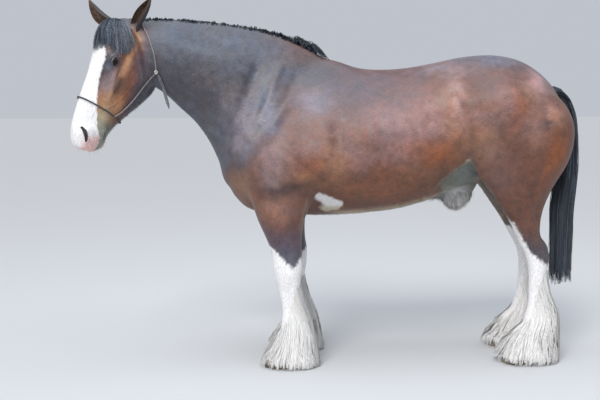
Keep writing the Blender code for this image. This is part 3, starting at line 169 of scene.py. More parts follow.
# Swellings in head axes, mirrored: eye socket, hollow above it, facial crest, cheek muscle, hollow under
# the crest, nasal bone, nostril's wing, upper lip, chin, corner of the mouth, hollow of the jaw
HEAD_RELIEF = mm((
    (255, -62, 108, 42, 36, 35, 11), (180, -45, 85, 24, 24, 30, -10), (330, -112, 98, 35, 14, 40, 7),
    (380, -126, 90, 35, 14, 40, 7), (425, -136, 82, 32, 14, 40, 7), (250, -280, 110, 100, 95, 60, 11),
    (445, -195, 80, 70, 35, 40, -11), (400, -70, 75, 80, 30, 30, -6), (665, -75, 62, 38, 32, 30, 12),
    (600, -85, 62, 25, 28, 30, -6), (748, -115, 0, 30, 35, 40, 7), (690, -225, 0, 35, 30, 40, 10),
    (585, -200, 62, 22, 22, 30, -5), (360, -410, 0, 170, 50, 28, -16)))
# Finer ones: root of the ear, shadow under the crest, jaw's edge, hollow behind it, veins, nostrils, lip
HEAD_FOLDS = mm((
    (62, -128, 82, 34, 34, 30, 12), (340, -128, 96, 90, 6, 40, -3), (300, -375, 60, 120, 16, 40, 4),
    (105, -190, 95, 30, 60, 30, -6), (520, -85, 64, 90, 6, 20, 2.2), (470, -120, 70, 6, 50, 20, 1.8),
    (735, -60, 20, 30, 25, 16, 3), (742, -100, 0, 30, 50, 6, -3)))
# Points down the face and out of it, with the nostril's half-width
NOSTRIL = mm((
    (648, -58, 5.5), (664, -76, 9.5), (686, -94, 8.5), (706, -103, 5)))
NOSTRIL_DEPTH = 0.020
NOSTRIL_RIM = 0.0035           # height of its raised rim
LIP_RISE = 0.0026
MOUTH = mm((
    (598, -186), (625, -196), (655, -200), (690, -196), (720, -180), (742, -152), (780, -120)))
MOUTH_DEPTH = 0.0062
EYE_PLACE = (0.262, -0.078)
EYE_R = 0.0215
EYE_SINK = 0.0180
LID = 0.0036
LID_CREASE = 0.0024
BROW_RISE = 0.0022
FINE_EYE = 0.055               # the mesh is finer this far round an eye
FINEST_EYE = 0.034
EYE_SLIT = (0.0195, 0.0100)    # half its length and half its height
EYE_SLOPE = Vector((0.93, -0.37, 0)).normalized()
EYE_RISE = Vector((-EYE_SLOPE.y, EYE_SLOPE.x, 0))


# Numbers and places

def srgb(red, green, blue):
    """Linear colour of an 8-bit one."""
    values = np.array((red, green, blue), float) / 255
    return np.where(values <= 0.04045, values / 12.92, ((values + 0.055) / 1.055) ** 2.4)


def unit(vectors):
    return vectors / (np.linalg.norm(vectors, axis=-1, keepdims=True) + 1e-9)


def bell(value):
    """1 at zero, fading smoothly to both sides."""
    return np.exp(-value ** 2)


def step_up(value, low, high):
    """0 below low, 1 above high, smooth between."""
    t = np.clip((value - low) / (high - low), 0, 1)
    return t * t * (3 - 2 * t)


def between(rows, steps=STEPS):
    """Rows with smooth ones drawn between them, along a Catmull-Rom curve."""
    rows = [np.array(row, float) for row in rows]
    padded = [2 * rows[0] - rows[1], *rows, 2 * rows[-1] - rows[-2]]
    found = []
    for i in range(1, len(padded) - 2):
        a, b, c, d = padded[i - 1:i + 3]
        for k in range(steps):
            t = k / steps
            found.append(0.5 * (2 * b + (c - a) * t + (2 * a - 5 * b + 4 * c - d) * t * t
                                + (3 * b - a - 3 * c + d) * t ** 3))
    return [*found, rows[-1]]


def curve_through(points, steps):
    """Evenly drawn points on a smooth curve through a few."""
    dense = np.array(between(points, 8))
    place = np.concatenate(([0], np.cumsum(np.linalg.norm(np.diff(dense, axis=0), axis=1))))
    wanted = np.linspace(0, place[-1], steps)
    return np.stack([np.interp(wanted, place, dense[:, k]) for k in range(3)], 1)


def path_distance(spots, path):
    """Distance to a line through the points, and how far along it the nearest point is, 0 to 1."""
    best = np.full(len(spots), 9.0)
    where = np.zeros(len(spots))
    for k, (a, b) in enumerate(zip(np.array(path[:-1]), np.array(path[1:]))):
        t = np.clip(((spots - a) @ (b - a)) / ((b - a) @ (b - a)), 0, 1)
        away = np.linalg.norm(spots - (a + t[:, None] * (b - a)), axis=1)
        closer = away < best
        best = np.where(closer, away, best)
        where = np.where(closer, (k + t) / (len(path) - 1), where)
    return best, where


def circle(count):
    """Cosine and sine of even steps round a full turn."""
    return [(math.cos(2 * math.pi * k / count), math.sin(2 * math.pi * k / count)) for k in range(count)]


def head_matrix():
    """Head axes: x down the face, y out of the forehead, z to the horse's right."""
    ahead = Vector((-math.cos(HEAD_YAW), -math.sin(HEAD_YAW), 0))
    down = ahead * math.cos(FACE_DROP) - Vector((0, 0, math.sin(FACE_DROP)))
    front = ahead * math.sin(FACE_DROP) + Vector((0, 0, math.cos(FACE_DROP)))
    matrix = Matrix((down, front, down.cross(front))).transposed().to_4x4()
    matrix.translation = HEAD_ORIGIN
    return matrix


HEAD = head_matrix()
HEAD_TURN = HEAD.to_3x3()
TO_HEAD = HEAD.inverted()


def in_head(points):
    turn = np.array(TO_HEAD)
    return points @ turn[:3, :3].T + turn[:3, 3]


def on_face(tree, place, out, reach, lift):
    """The head's surface, met from place + out * reach on the way to place, and lifted a little."""
    heading = (HEAD_TURN @ out).normalized()
    return tree.ray_cast(HEAD @ (place + out * reach), -heading)[0] + heading * lift


# Meshes

def read(items, key, width=1, kind=np.float32):
    """A value or vector of each item in an array."""
    values = np.empty(len(items) * width, kind)
    items.foreach_get(key, values)
    values = values.astype(float) if kind is np.float32 else values
    return values.reshape(-1, width) if width > 1 else values


def write(items, key, values, kind=np.float32):
    items.foreach_set(key, np.asarray(values).astype(kind).ravel())


def points_of(mesh):
    return read(mesh.vertices, "co", 3)


def normals_of(mesh):
    return read(mesh.vertices, "normal", 3)


def put_points(mesh, co):
    write(mesh.vertices, "co", co)
    mesh.update()


def linked(name, data):
    obj = bpy.data.objects.new(name, data)
    bpy.context.scene.collection.objects.link(obj)
    return obj


def loft(bm, rings, looped=False):
    """Skin over the rings, capped at both ends or joined end to end."""
    rows = [[bm.verts.new(p) for p in ring] for ring in rings]
    count = len(rows[0])
    if looped:
        first, last = rows[0], rows[-1]
        turn = min(range(count), key=lambda j: (last[0].co - first[j].co).length)
        rows.append(first[turn:] + first[:turn])
    for lower, upper in zip(rows, rows[1:]):
        for k in range(count):
            j = (k + 1) % count
            bm.faces.new((lower[k], lower[j], upper[j], upper[k]))
    if not looped:
        bm.faces.new(rows[0][::-1])
        bm.faces.new(rows[-1])


def object_from(bm, name):
    mesh = bpy.data.meshes.new(name)
    bmesh.ops.recalc_face_normals(bm, faces=bm.faces)
    bm.to_mesh(mesh)
    bm.free()
    mesh.shade_smooth()
    return linked(name, mesh)


def lofted(name, rings, looped=False):
    bm = bmesh.new()
    loft(bm, rings, looped)
    return object_from(bm, name)


def modify(obj, kind, **settings):
    """Makes one modifier part of the object's mesh."""
    modifier = obj.modifiers.new(kind, kind)
    for key, value in settings.items():
        setattr(modifier, key, value)
    graph = bpy.context.evaluated_depsgraph_get()
    old, obj.data = obj.data, bpy.data.meshes.new_from_object(obj.evaluated_get(graph))
    obj.modifiers.clear()
    bpy.data.meshes.remove(old)


def refine(obj, test):
    """Splits the faces whose points all pass the test in four."""
    inside = test(points_of(obj.data))
    bm = bmesh.new()
    bm.from_mesh(obj.data)
    bm.verts.ensure_lookup_table()
    edges = [edge for edge in bm.edges if inside[edge.verts[0].index] and inside[edge.verts[1].index]]
    bmesh.ops.subdivide_edges(bm, edges=edges, cuts=1, use_grid_fill=True, smooth=0.0)
    bm.to_mesh(obj.data)
    bm.free()


# Forms of the body

def rib(top, bottom, side, widths):
    """A closed ring from top to bottom and back, widths wide to each side at four even levels."""
    ring = []
    for c, s in circle(2 * RIB_SIDE):
        level = (1 - c) / 2
        ring.append(top.lerp(bottom, level) + side * (np.interp(level, (0, 1 / 3, 2 / 3, 1), widths) * s))
    return ring


def trunk_rings():
    """Rings of torso, neck and head."""
    torso = [rib(Vector((x, 0, top)), Vector((x, 0, low)), Vector((0, 1, 0)), widths)
             for x, top, low, *widths in between(TORSO_RIBS)]
    neck = []
    for cx, cz, tx, tz, shift, *widths in between(NECK_RIBS):
        turn = HEAD_YAW * 0.8 * min(1.0, max(0.0, (-0.35 - cx) / 0.7))
        side = Vector((math.sin(turn), -math.cos(turn), 0))
        neck.append(rib(Vector((cx, shift, cz)), Vector((tx, shift, tz)), side, widths))
    head = []
    for along, top, low, *widths in between(HEAD_RIBS):
        ring = rib(Vector((along, top, 0)), Vector((along, low, 0)), Vector((0, 0, 1)), widths)
        head.append([HEAD @ p for p in ring])
    return torso, neck, head


def stepped(step, z):
    """How far back a leg stands at height z."""
    return np.interp(z, *np.transpose(step))


def leg_rings(ribs, sign, step):
    rings = []
    for z, front, rear, inner, outer in between(ribs):
        centre = Vector(((front + rear) / 2 + stepped(step, z), sign * (inner + outer) / 2, z))
        rings.append([centre + Vector((c * (rear - front) / 2, s * (outer - inner) / 2, 0))
                      for c, s in circle(2 * RIB_SIDE)])
    return rings


def smooth_weights(points):
    """How strongly the fused surface is smoothed: most on the trunk, least on head and feet."""
    spot = in_head(points)
    face = np.clip((spot[:, 1] + 0.30) / 0.12, 0, 1) * np.clip((spot[:, 0] + 0.02) / 0.10, 0, 1)
    face = np.maximum(face, np.clip((spot[:, 0] - 0.25) / 0.15, 0, 1))
    weight = np.clip(0.10 + 0.9 * (points[:, 2] - 0.75) / 0.25, 0.10, 1.0)
    return np.where((points[:, 0] < -0.6) & (face > 0), 1.0 - 0.9 * face, weight)


def swell(mesh, relief, on_head=False):
    """Moves the surface out along its normals by the swellings in relief, alike on both sides."""
    co = points_of(mesh)
    spots = in_head(co) if on_head else co.copy()
    mirror = 2 if on_head else 1
    spots[:, mirror] = np.abs(spots[:, mirror])
    out = np.zeros(len(co))
    for *numbers, height in relief:
        place, size = np.reshape(numbers, (2, 3))
        out += height * np.exp(-(((spots - place) / size) ** 2).sum(axis=1))
    put_points(mesh, co + normals_of(mesh) * out[:, None])


def squared(points):
    """Side-view places with each right leg drawn level with the left one."""
    x, y, z = points.T
    back = np.where(x < 0.3, stepped(FAR_FORE_STEP, z), stepped(FAR_HIND_STEP, z))
    return np.stack((x - np.where(y > 0, back, 0), z), 1)


def draw_lines(mesh, lines, flat, where):
    """Raises ridges and sinks grooves along lines drawn on a flat view, where a mask allows it."""
    out = np.zeros(len(flat))
    for path, width, height in lines:
        away, along = path_distance(flat, path)
        out += height * bell(away / width) * np.clip(np.minimum(along, 1 - along) * 6 + 0.25, 0, 1)
    put_points(mesh, points_of(mesh) + normals_of(mesh) * (out * where)[:, None])


def whole_body():
    """The body in one closed mesh, from the lofted forms."""
    bm = bmesh.new()
    for rings in trunk_rings():
        loft(bm, rings)
    for sign, fore, hind in ((-1, SQUARE, SQUARE), (1, FAR_FORE_STEP, FAR_HIND_STEP)):
        loft(bm, leg_rings(FORE_RIBS, sign, fore))
        loft(bm, leg_rings(HIND_RIBS, sign, hind))
    loft(bm, [[Vector((x, s * size * 0.9, z + c * size)) for c, s in circle(16)]
              for x, z, size in between(SHEATH, 2)])
    body = object_from(bm, "skin")
    modify(body, "REMESH", mode="VOXEL", voxel_size=VOXEL)
    group = body.vertex_groups.new(name="blend")
    for index, weight in enumerate(smooth_weights(points_of(body.data))):
        group.add([index], weight, "REPLACE")
    modify(body, "SMOOTH", factor=0.5, iterations=67, vertex_group="blend")
    body.vertex_groups.clear()
    swell(body.data, BODY_RELIEF)
    swell(body.data, HEAD_RELIEF, on_head=True)
    put_points(body.data, points_of(body.data) - normals_of(body.data) * COAT_DEPTH)
    return body


def sculpt_head(mesh, eyes):
    """Lids, nostrils, lips and folds, on a mesh that is finer there. Returns each point's share of shade."""
    swell(mesh, HEAD_FOLDS, on_head=True)
    co = points_of(mesh)
    spot = in_head(co)
    draw_lines(mesh, FACE_LINES, spot[:, :2], (co[:, 0] < -0.93) * step_up(np.abs(spot[:, 2]), 0.015, 0.045))
    co, no = points_of(mesh), normals_of(mesh)
    spot = in_head(co)
    flat = spot[:, :2]
    side = np.sign(spot[:, 2])
    on_head = (spot[:, 0] > 0.1) & (co[:, 0] < -0.9)
    # nostrils: a comma-shaped pit with a raised rim
    pit_away, along = path_distance(flat, [row[:2] for row in NOSTRIL])
    size = np.interp(along, np.linspace(0, 1, len(NOSTRIL)), [row[2] for row in NOSTRIL])
    flank = on_head & (np.abs(spot[:, 2]) > 0.018)
    pit = flank * (1 - step_up(pit_away, size * 0.45, size * 1.15))
    rim = flank * bell((pit_away - size * 1.5) / 0.0045)
    inward = np.array(HEAD_TURN @ Vector((-0.45, 0.10, 0)))
    across = np.array(HEAD_TURN @ Vector((0, 0, 1)))
    co += rim[:, None] * no * NOSTRIL_RIM
    co += pit[:, None] * NOSTRIL_DEPTH * (inward - side[:, None] * across * 0.9)
    # mouth: a groove with full lips beside it, and wrinkles behind it
    away, along = path_distance(flat, MOUTH)
    groove = (on_head & (spot[:, 0] > 0.58)) * bell(away / 0.0034)
    lips = (on_head & (spot[:, 0] > 0.60)) * bell((away - 0.011) / 0.006)
    co += ((lips * LIP_RISE - groove * MOUTH_DEPTH) * np.clip(along / 0.12, 0, 1))[:, None] * no
    for shift, depth in ((0.010, 0.0012), (0.021, 0.0010), (0.032, 0.0007)):
        crease = path_distance(flat + (shift, 0), ((0.590, -0.165), (0.584, -0.188), (0.594, -0.212)))[0]
        co -= (on_head * bell(crease / 0.0028) * depth)[:, None] * no
    # lids: a dome over each ball, open in an almond, with a crease and a brow above it
    opening = np.zeros(len(co))
    for sign, centre in eyes:
        centre = np.array(centre)
        offset = co - centre
        radius = np.linalg.norm(offset, axis=1)
        near = (radius < 0.060) & (side == sign)
        from_eye = flat - in_head(centre[None])[0, :2]
        u = from_eye @ np.array(EYE_SLOPE[:2]) / EYE_SLIT[0]
        v = from_eye @ np.array(EYE_RISE[:2]) / EYE_SLIT[1]
        above = near & (v > 0)
        reach = np.clip(np.abs(np.where(v < 0, v / 0.8, v)) - (1 - u * u), -1, 3)
        raised = near & (radius < EYE_R + LID)
        co = np.where(raised[:, None], offset / radius[:, None] * (EYE_R + LID) + centre, co)
        crease = above * bell((reach - 1.25) / 0.28) * bell(u / 1.3)
        brow = above * bell((reach - 2.2) / 0.5) * bell(u / 1.5)
        co += (brow * BROW_RISE - crease * LID_CREASE)[:, None] * no
        deep = offset / radius[:, None] * (EYE_R - 0.004) + centre
        share = (near * step_up(-reach, 0.0, 0.16))[:, None]
        co = co * (1 - share) + deep * share
        opening = np.maximum(opening, near * (1 - step_up(reach, 0.0, 0.35)))
    put_points(mesh, co)
    return np.maximum(opening, flank * (1 - step_up(pit_away, size * 0.85, size * 1.40)) * 0.92)


def flank_line(x):
    """Height of the edge where the belly's side and the thigh's front end over the groin."""
    return np.interp(x, (0.52, 0.57, 0.63, 0.69, 0.755, 0.81, 0.86, 0.90),
                     (0.90, 0.945, 1.018, 1.081, 1.134, 1.055, 0.96, 0.86))


def hollow_groin(mesh):
    """Draws the skin under the flank inwards, so that the groin lies in the shade between belly and thigh."""
    co = points_of(mesh)
    x, y, z = co.T
    share = step_up(flank_line(x) - z, -0.004, 0.030) * step_up(x, 0.56, 0.64) * step_up(-x, -0.90, -0.85)
    wide = np.abs(y)
    target = np.minimum(wide, np.interp(z, (0.90, 1.0, 1.13), (0.11, 0.15, 0.24)))
    co[:, 1] = np.sign(y) * (wide + (target - wide) * share * step_up(z, 0.80, 0.90))
    put_points(mesh, co)


def make_skin():
    """The skin, a search tree of its shape, both eyes as side and centre, and each point's shade."""
    body = whole_body()
    swell(body.data, BODY_FOLDS)
    co = points_of(body.data)
    side = step_up(np.abs(co[:, 1]), 0.03, 0.10) * (1 - step_up(-co[:, 0], 0.86, 0.93))
    draw_lines(body.data, (*BODY_LINES, *RIBS), squared(co), side)
    hollow_groin(body.data)

    def on_head(points):
        spot = in_head(points)
        return (spot[:, 0] > 0.12) & (points[:, 0] < -0.98) & (spot[:, 1] > -0.42)

    def fine(points):
        spot = in_head(points)
        eye = np.linalg.norm(spot[:, :2] - np.array(EYE_PLACE), axis=1) < FINE_EYE
        return ((spot[:, 0] > 0.57) | eye) & on_head(points)

    refine(body, on_head)
    refine(body, fine)
    tree = BVHTree.FromObject(body, bpy.context.evaluated_depsgraph_get())
    eyes = [(sign, on_face(tree, Vector((*EYE_PLACE, 0)), Vector((0, 0, sign)), 0.25, COAT_DEPTH - EYE_SINK))
            for sign in (-1, 1)]

    def round_eyes(points):
        away = [np.linalg.norm(points - np.array(centre), axis=1) for _, centre in eyes]
        return np.minimum(*away) < FINEST_EYE

    refine(body, round_eyes)
    return body, tree, eyes, sculpt_head(body.data, eyes)


# Markings, with painted highlights and painted shade, alike for skin and hair

BAY = srgb(102, 65, 50)
BLACK = srgb(30, 28, 32)
SLATE = srgb(69, 69, 77)
# The steel blue-grey is a tone of the coat, and on the top of neck, shoulder and croup partly a painted sky
# sheen; the sheen colour after it is only a painted highlight.
STEEL = srgb(84, 92, 106)
PAINTED_SHEEN = srgb(140, 140, 156)
HAZE = srgb(132, 120, 126)
MAUVE = srgb(91, 77, 86)
ROSE = srgb(140, 108, 106)
TAN = srgb(158, 116, 84)
RUST = srgb(134, 74, 36)
WHITE = srgb(238, 236, 236)
CREAM = srgb(196, 182, 150)
PINK = srgb(226, 176, 170)
GREY_SKIN = srgb(122, 128, 118)
OLIVE = srgb(104, 100, 84)
DUSK = srgb(84, 74, 88)
EYE_SHADE = srgb(30, 24, 24)

# Tints of the coat, alike on both sides: place x, y, z and size along them in millimetres, colour, share.
# Some rows are painted light and shade, marked below: highlights on the point of the shoulder, the flank and
# the croup's rear edge, a sky sheen on shoulder, loin and croup, and shade in the crease where the foreleg
# meets the chest.
TINTS = (
    (150, 200, 1550, 450, 400, 200, MAUVE, 0.8), (-120, 280, 1220, 220, 300, 180, ROSE, 0.35),
    # first row: a painted highlight on the point of the shoulder
    (-330, 200, 1180, 80, 200, 90, ROSE * 1.35, 0.6), (-300, 240, 1070, 90, 300, 70, HAZE, 0.55),
    (-80, 200, 1610, 150, 400, 120, SLATE, 0.92), (160, 300, 1480, 180, 300, 120, SLATE, 0.38),
    # first row: steel on the top of the shoulder, partly a painted sky sheen
    (-225, 150, 1600, 90, 300, 90, STEEL, 0.7), (390, 340, 1190, 120, 300, 80, ROSE, 0.6),
    (540, 340, 1350, 90, 300, 100, ROSE * 1.35, 0.75), (470, 340, 1070, 100, 300, 50, TAN, 0.45),
    (-140, 300, 1030, 60, 300, 40, TAN, 0.6), (820, 340, 1270, 80, 300, 140, TAN * 1.1, 0.75),
    (1080, 340, 1290, 50, 300, 70, TAN, 0.5), (1190, 300, 1370, 60, 300, 50, ROSE * 1.4, 0.75),
    (120, 340, 1150, 140, 200, 60, ROSE, 0.55), (180, 300, 990, 200, 200, 50, TAN, 0.35),
    # second row: a painted sheen over the loin
    (920, 340, 1450, 80, 200, 120, ROSE, 0.45), (600, 200, 1620, 120, 400, 50, PAINTED_SHEEN, 0.4),
    (-280, 240, 860, 80, 200, 70, TAN, 0.45), (880, 340, 1030, 100, 200, 100, ROSE, 0.25),
    # first row: a painted sheen on the shoulder
    (-80, 280, 1460, 110, 200, 90, PAINTED_SHEEN, 0.5), (30, 200, 1570, 110, 400, 60, SLATE, 0.45),
    (-100, 300, 1230, 60, 200, 60, MAUVE, 0.4), (-300, 240, 1440, 50, 200, 200, MAUVE, 0.8),
    (360, 360, 1330, 240, 300, 140, ROSE, 0.72), (-80, 320, 1130, 80, 200, 100, RUST, 0.6),
    # second row: a painted highlight down the front of the flank
    (20, 320, 1100, 70, 200, 100, TAN, 0.45), (650, 340, 1380, 75, 200, 260, TAN, 0.42),
    # first row: a narrow painted highlight down the flank
    (680, 300, 1450, 35, 200, 150, ROSE * 1.6, 0.55), (550, 360, 1160, 130, 200, 90, RUST, 0.7),
    (300, 340, 980, 300, 200, 90, RUST, 0.45), (850, 340, 1300, 100, 200, 200, MAUVE, 0.35),
    (980, 340, 1420, 60, 200, 120, RUST, 0.55), (1070, 320, 1460, 50, 200, 80, TAN, 0.5),
    (1080, 340, 1340, 80, 200, 140, ROSE, 0.55), (1210, 250, 1160, 70, 200, 130, RUST, 1.0),
    # first row: steel over the croup, partly a painted sky sheen
    (900, 100, 1700, 260, 400, 90, STEEL * 1.35, 0.8), (1200, 50, 1580, 160, 300, 100, SLATE, 0.8),
    # first row: a painted highlight on the croup's rear edge
    (1130, 220, 1540, 70, 200, 60, ROSE * 1.8, 0.85), (780, 340, 1350, 60, 200, 70, ROSE * 1.2, 0.5),
    (1210, 300, 1350, 40, 200, 60, TAN, 0.5), (920, 340, 1430, 60, 200, 60, ROSE * 1.2, 0.45),
    (1170, 290, 1320, 30, 100, 14, SLATE, 0.8), (-460, 160, 980, 60, 140, 120, TAN, 0.45),
    # first row: painted shade in the crease where the foreleg meets the chest
    (-240, 300, 985, 120, 200, 35, BLACK, 0.7), (-270, 280, 860, 90, 200, 80, ROSE, 0.5))
# The same on the dark neck; the last row is a painted sheen on the shoulder.
NECK_TINTS = (
    (-490, 160, 1360, 70, 300, 130, HAZE, 0.5), (-475, 160, 1230, 75, 300, 90, HAZE * 1.1, 0.7),
    (-330, 220, 1380, 80, 300, 140, PAINTED_SHEEN, 0.7))
# Lines of painted light and shade on the coat: points seen from the side, width, colour and share. The black
# ones are painted shade in the grooves before the shoulder blade, the steel ones painted highlights along its
# ridges; the grey and cream ones run along the edge of the groin and the back of the foreleg.
STREAKS = (
    (((-0.49, 1.44), (-0.53, 1.33), (-0.53, 1.17)), 0.022, BLACK, 0.25),
    (((-0.40, 1.62), (-0.46, 1.50)), 0.016, BLACK, 0.25),
    (((-0.29, 1.68), (-0.33, 1.56), (-0.38, 1.42)), 0.018, STEEL, 0.60),
    (((-0.35, 1.66), (-0.42, 1.54)), 0.012, STEEL, 0.45),
    (((0.60, 1.00), (0.69, 1.083), (0.745, 1.13)), 0.016, GREY_SKIN, 0.55),
    (((0.735, 1.130), (0.755, 1.130), (0.80, 1.07)), 0.008, CREAM, 0.50),
    (((0.80, 1.07), (0.865, 0.96)), 0.008, CREAM, 0.30),
    (((-0.146, 0.92), (-0.146, 0.80), (-0.148, 0.68)), 0.009, CREAM, 0.16))
# Tints of the face: place down it and out of it, size along both in millimetres, colour and share
CHEEK_TINTS = (
    (460, -120, 100, 70, TAN, 0.95), (465, -175, 60, 40, TAN * 1.4, 0.8), (330, -100, 100, 40, RUST, 0.35),
    (470, -218, 55, 30, TAN * 1.2, 0.6), (335, -105, 65, 35, HAZE, 0.6), (385, -82, 55, 30, HAZE * 0.9, 0.75),
    (505, -115, 45, 45, TAN * 1.3, 0.6), (330, -215, 100, 22, RUST, 0.8),
    (230, -150, 80, 22, TAN * 1.35, 0.95), (100, -150, 60, 50, TAN * 1.25, 0.85),
    (315, -140, 30, 20, TAN * 1.3, 0.5), (385, -122, 30, 18, HAZE, 0.5))
BROW_TINTS = (
    # The second and last rows, steel grey over the brow, are partly a painted highlight.
    (130, -225, 70, 35, STEEL, 0.6), (268, -55, 60, 34, STEEL * 1.15, 0.95), (262, -80, 28, 20, BLACK, 0.85),
    (330, -48, 120, 18, BLACK, 0.6), (296, -62, 30, 16, STEEL * 1.5, 0.45))
MUZZLE_TINTS = (
    (545, -145, 40, 40, CREAM, 0.75), (535, -200, 30, 30, TAN * 1.3, 0.45), (600, -200, 35, 16, BLACK, 0.4),
    (500, -255, 60, 28, DUSK, 0.6), (590, -238, 45, 20, SLATE, 0.8), (650, -228, 30, 16, SLATE * 1.2, 0.6),
    (668, -222, 20, 14, CREAM, 0.8))


def mix(base, colour, share):
    return base + (colour - base) * np.clip(share, 0, 1)[:, None]


def blob(points, place, size):
    """A soft spot, alike on both sides: 1 at its middle."""
    away = (np.stack((points[:, 0], np.abs(points[:, 1]), points[:, 2]), 1) - place) / np.array(size)
    return np.exp(-(away ** 2).sum(axis=1))


def ripple(points, scale, seed=0.0):
    """A smooth wandering value from -1 to 1, made of crossed waves."""
    x, y, z = (points * scale + seed).T
    total = np.sin(x + 1.7 * np.sin(0.9 * y + 1.3 * seed)) * np.cos(1.1 * z + 0.8 * np.sin(1.2 * x))
    total += np.sin(1.9 * z + 1.2 * y + 2.1 * seed) * np.cos(1.6 * y - 1.3 * x)
    total += 0.5 * np.sin(3.7 * x + 2.9 * z) * np.sin(3.3 * y + 4.1 * z + seed)
    return total / 2.5


def white_share(points):
    """Stockings, blaze and the spots under the belly: 1 where the coat is white."""
    x, y, z = points.T
    hairs = ripple(points * (1, 1, 0.25), 420.0, 5.0)
    jag = 0.014 * ripple(points, 60.0, 2.0) + 0.012 * ripple(points * (1, 1, 0.5), 190.0) + 0.010 * hairs
    fore_line = np.interp(x - np.where(y < 0, 0.0, 0.052), (-0.34, -0.303, -0.245, -0.192, -0.155, -0.12),
                          (0.680, 0.665, 0.595, 0.550, 0.600, 0.625)) + jag
    fore = (x < 0.2) * step_up(fore_line - z, -0.010, 0.018)
    hind_line = np.interp(x - np.where(y < 0, 0.0, 0.045), (0.90, 0.944, 1.023, 1.06, 1.11, 1.18, 1.25),
                          (0.890, 0.840, 0.764, 0.701, 0.622, 0.560, 0.545)) + jag
    inside = 1 - step_up(np.abs(y), 0.165, 0.200)
    hind_line = hind_line + (np.minimum(hind_line, 0.715 + jag) - hind_line) * inside
    hind = (x > 0.6) * step_up(hind_line - z, -0.010, 0.018)
    spot = in_head(points)
    edge = np.interp(spot[:, 0], (0.14, 0.20, 0.248, 0.379, 0.482, 0.608, 0.66, 0.76),
                     (0.02, -0.016, -0.030, -0.055, -0.080, -0.132, -0.176, -0.186))
    edge += 0.003 * ripple(points, 120.0, 4.0) + 0.002 * hairs + 0.010 * (spot[:, 2] > 0)
    blaze = (spot[:, 0] > 0.13) * (x < -0.95) * step_up(spot[:, 1] - edge, -0.003, 0.006)
    patch, _ = path_distance(np.stack((x, z), 1), ((-0.055, 0.935), (0.0, 0.912), (0.055, 0.890)))
    patch = bell(patch / 0.030) + bell(x / 0.07) * bell((z - 0.86) / 0.035) * 0.8
    sheath = blob(points, (0.73, 0.0, 0.915), (0.12, 0.16, 0.075)) * 1.4
    under = step_up(patch + jag * 9, 0.45, 0.85) * 0.9 * (z < 1.0)
    under += step_up(sheath + jag * 16, 0.30, 1.30) * 0.62
    return np.clip(np.maximum.reduce([fore, hind, blaze, under * (np.abs(y) > 0.02)]), 0, 1)


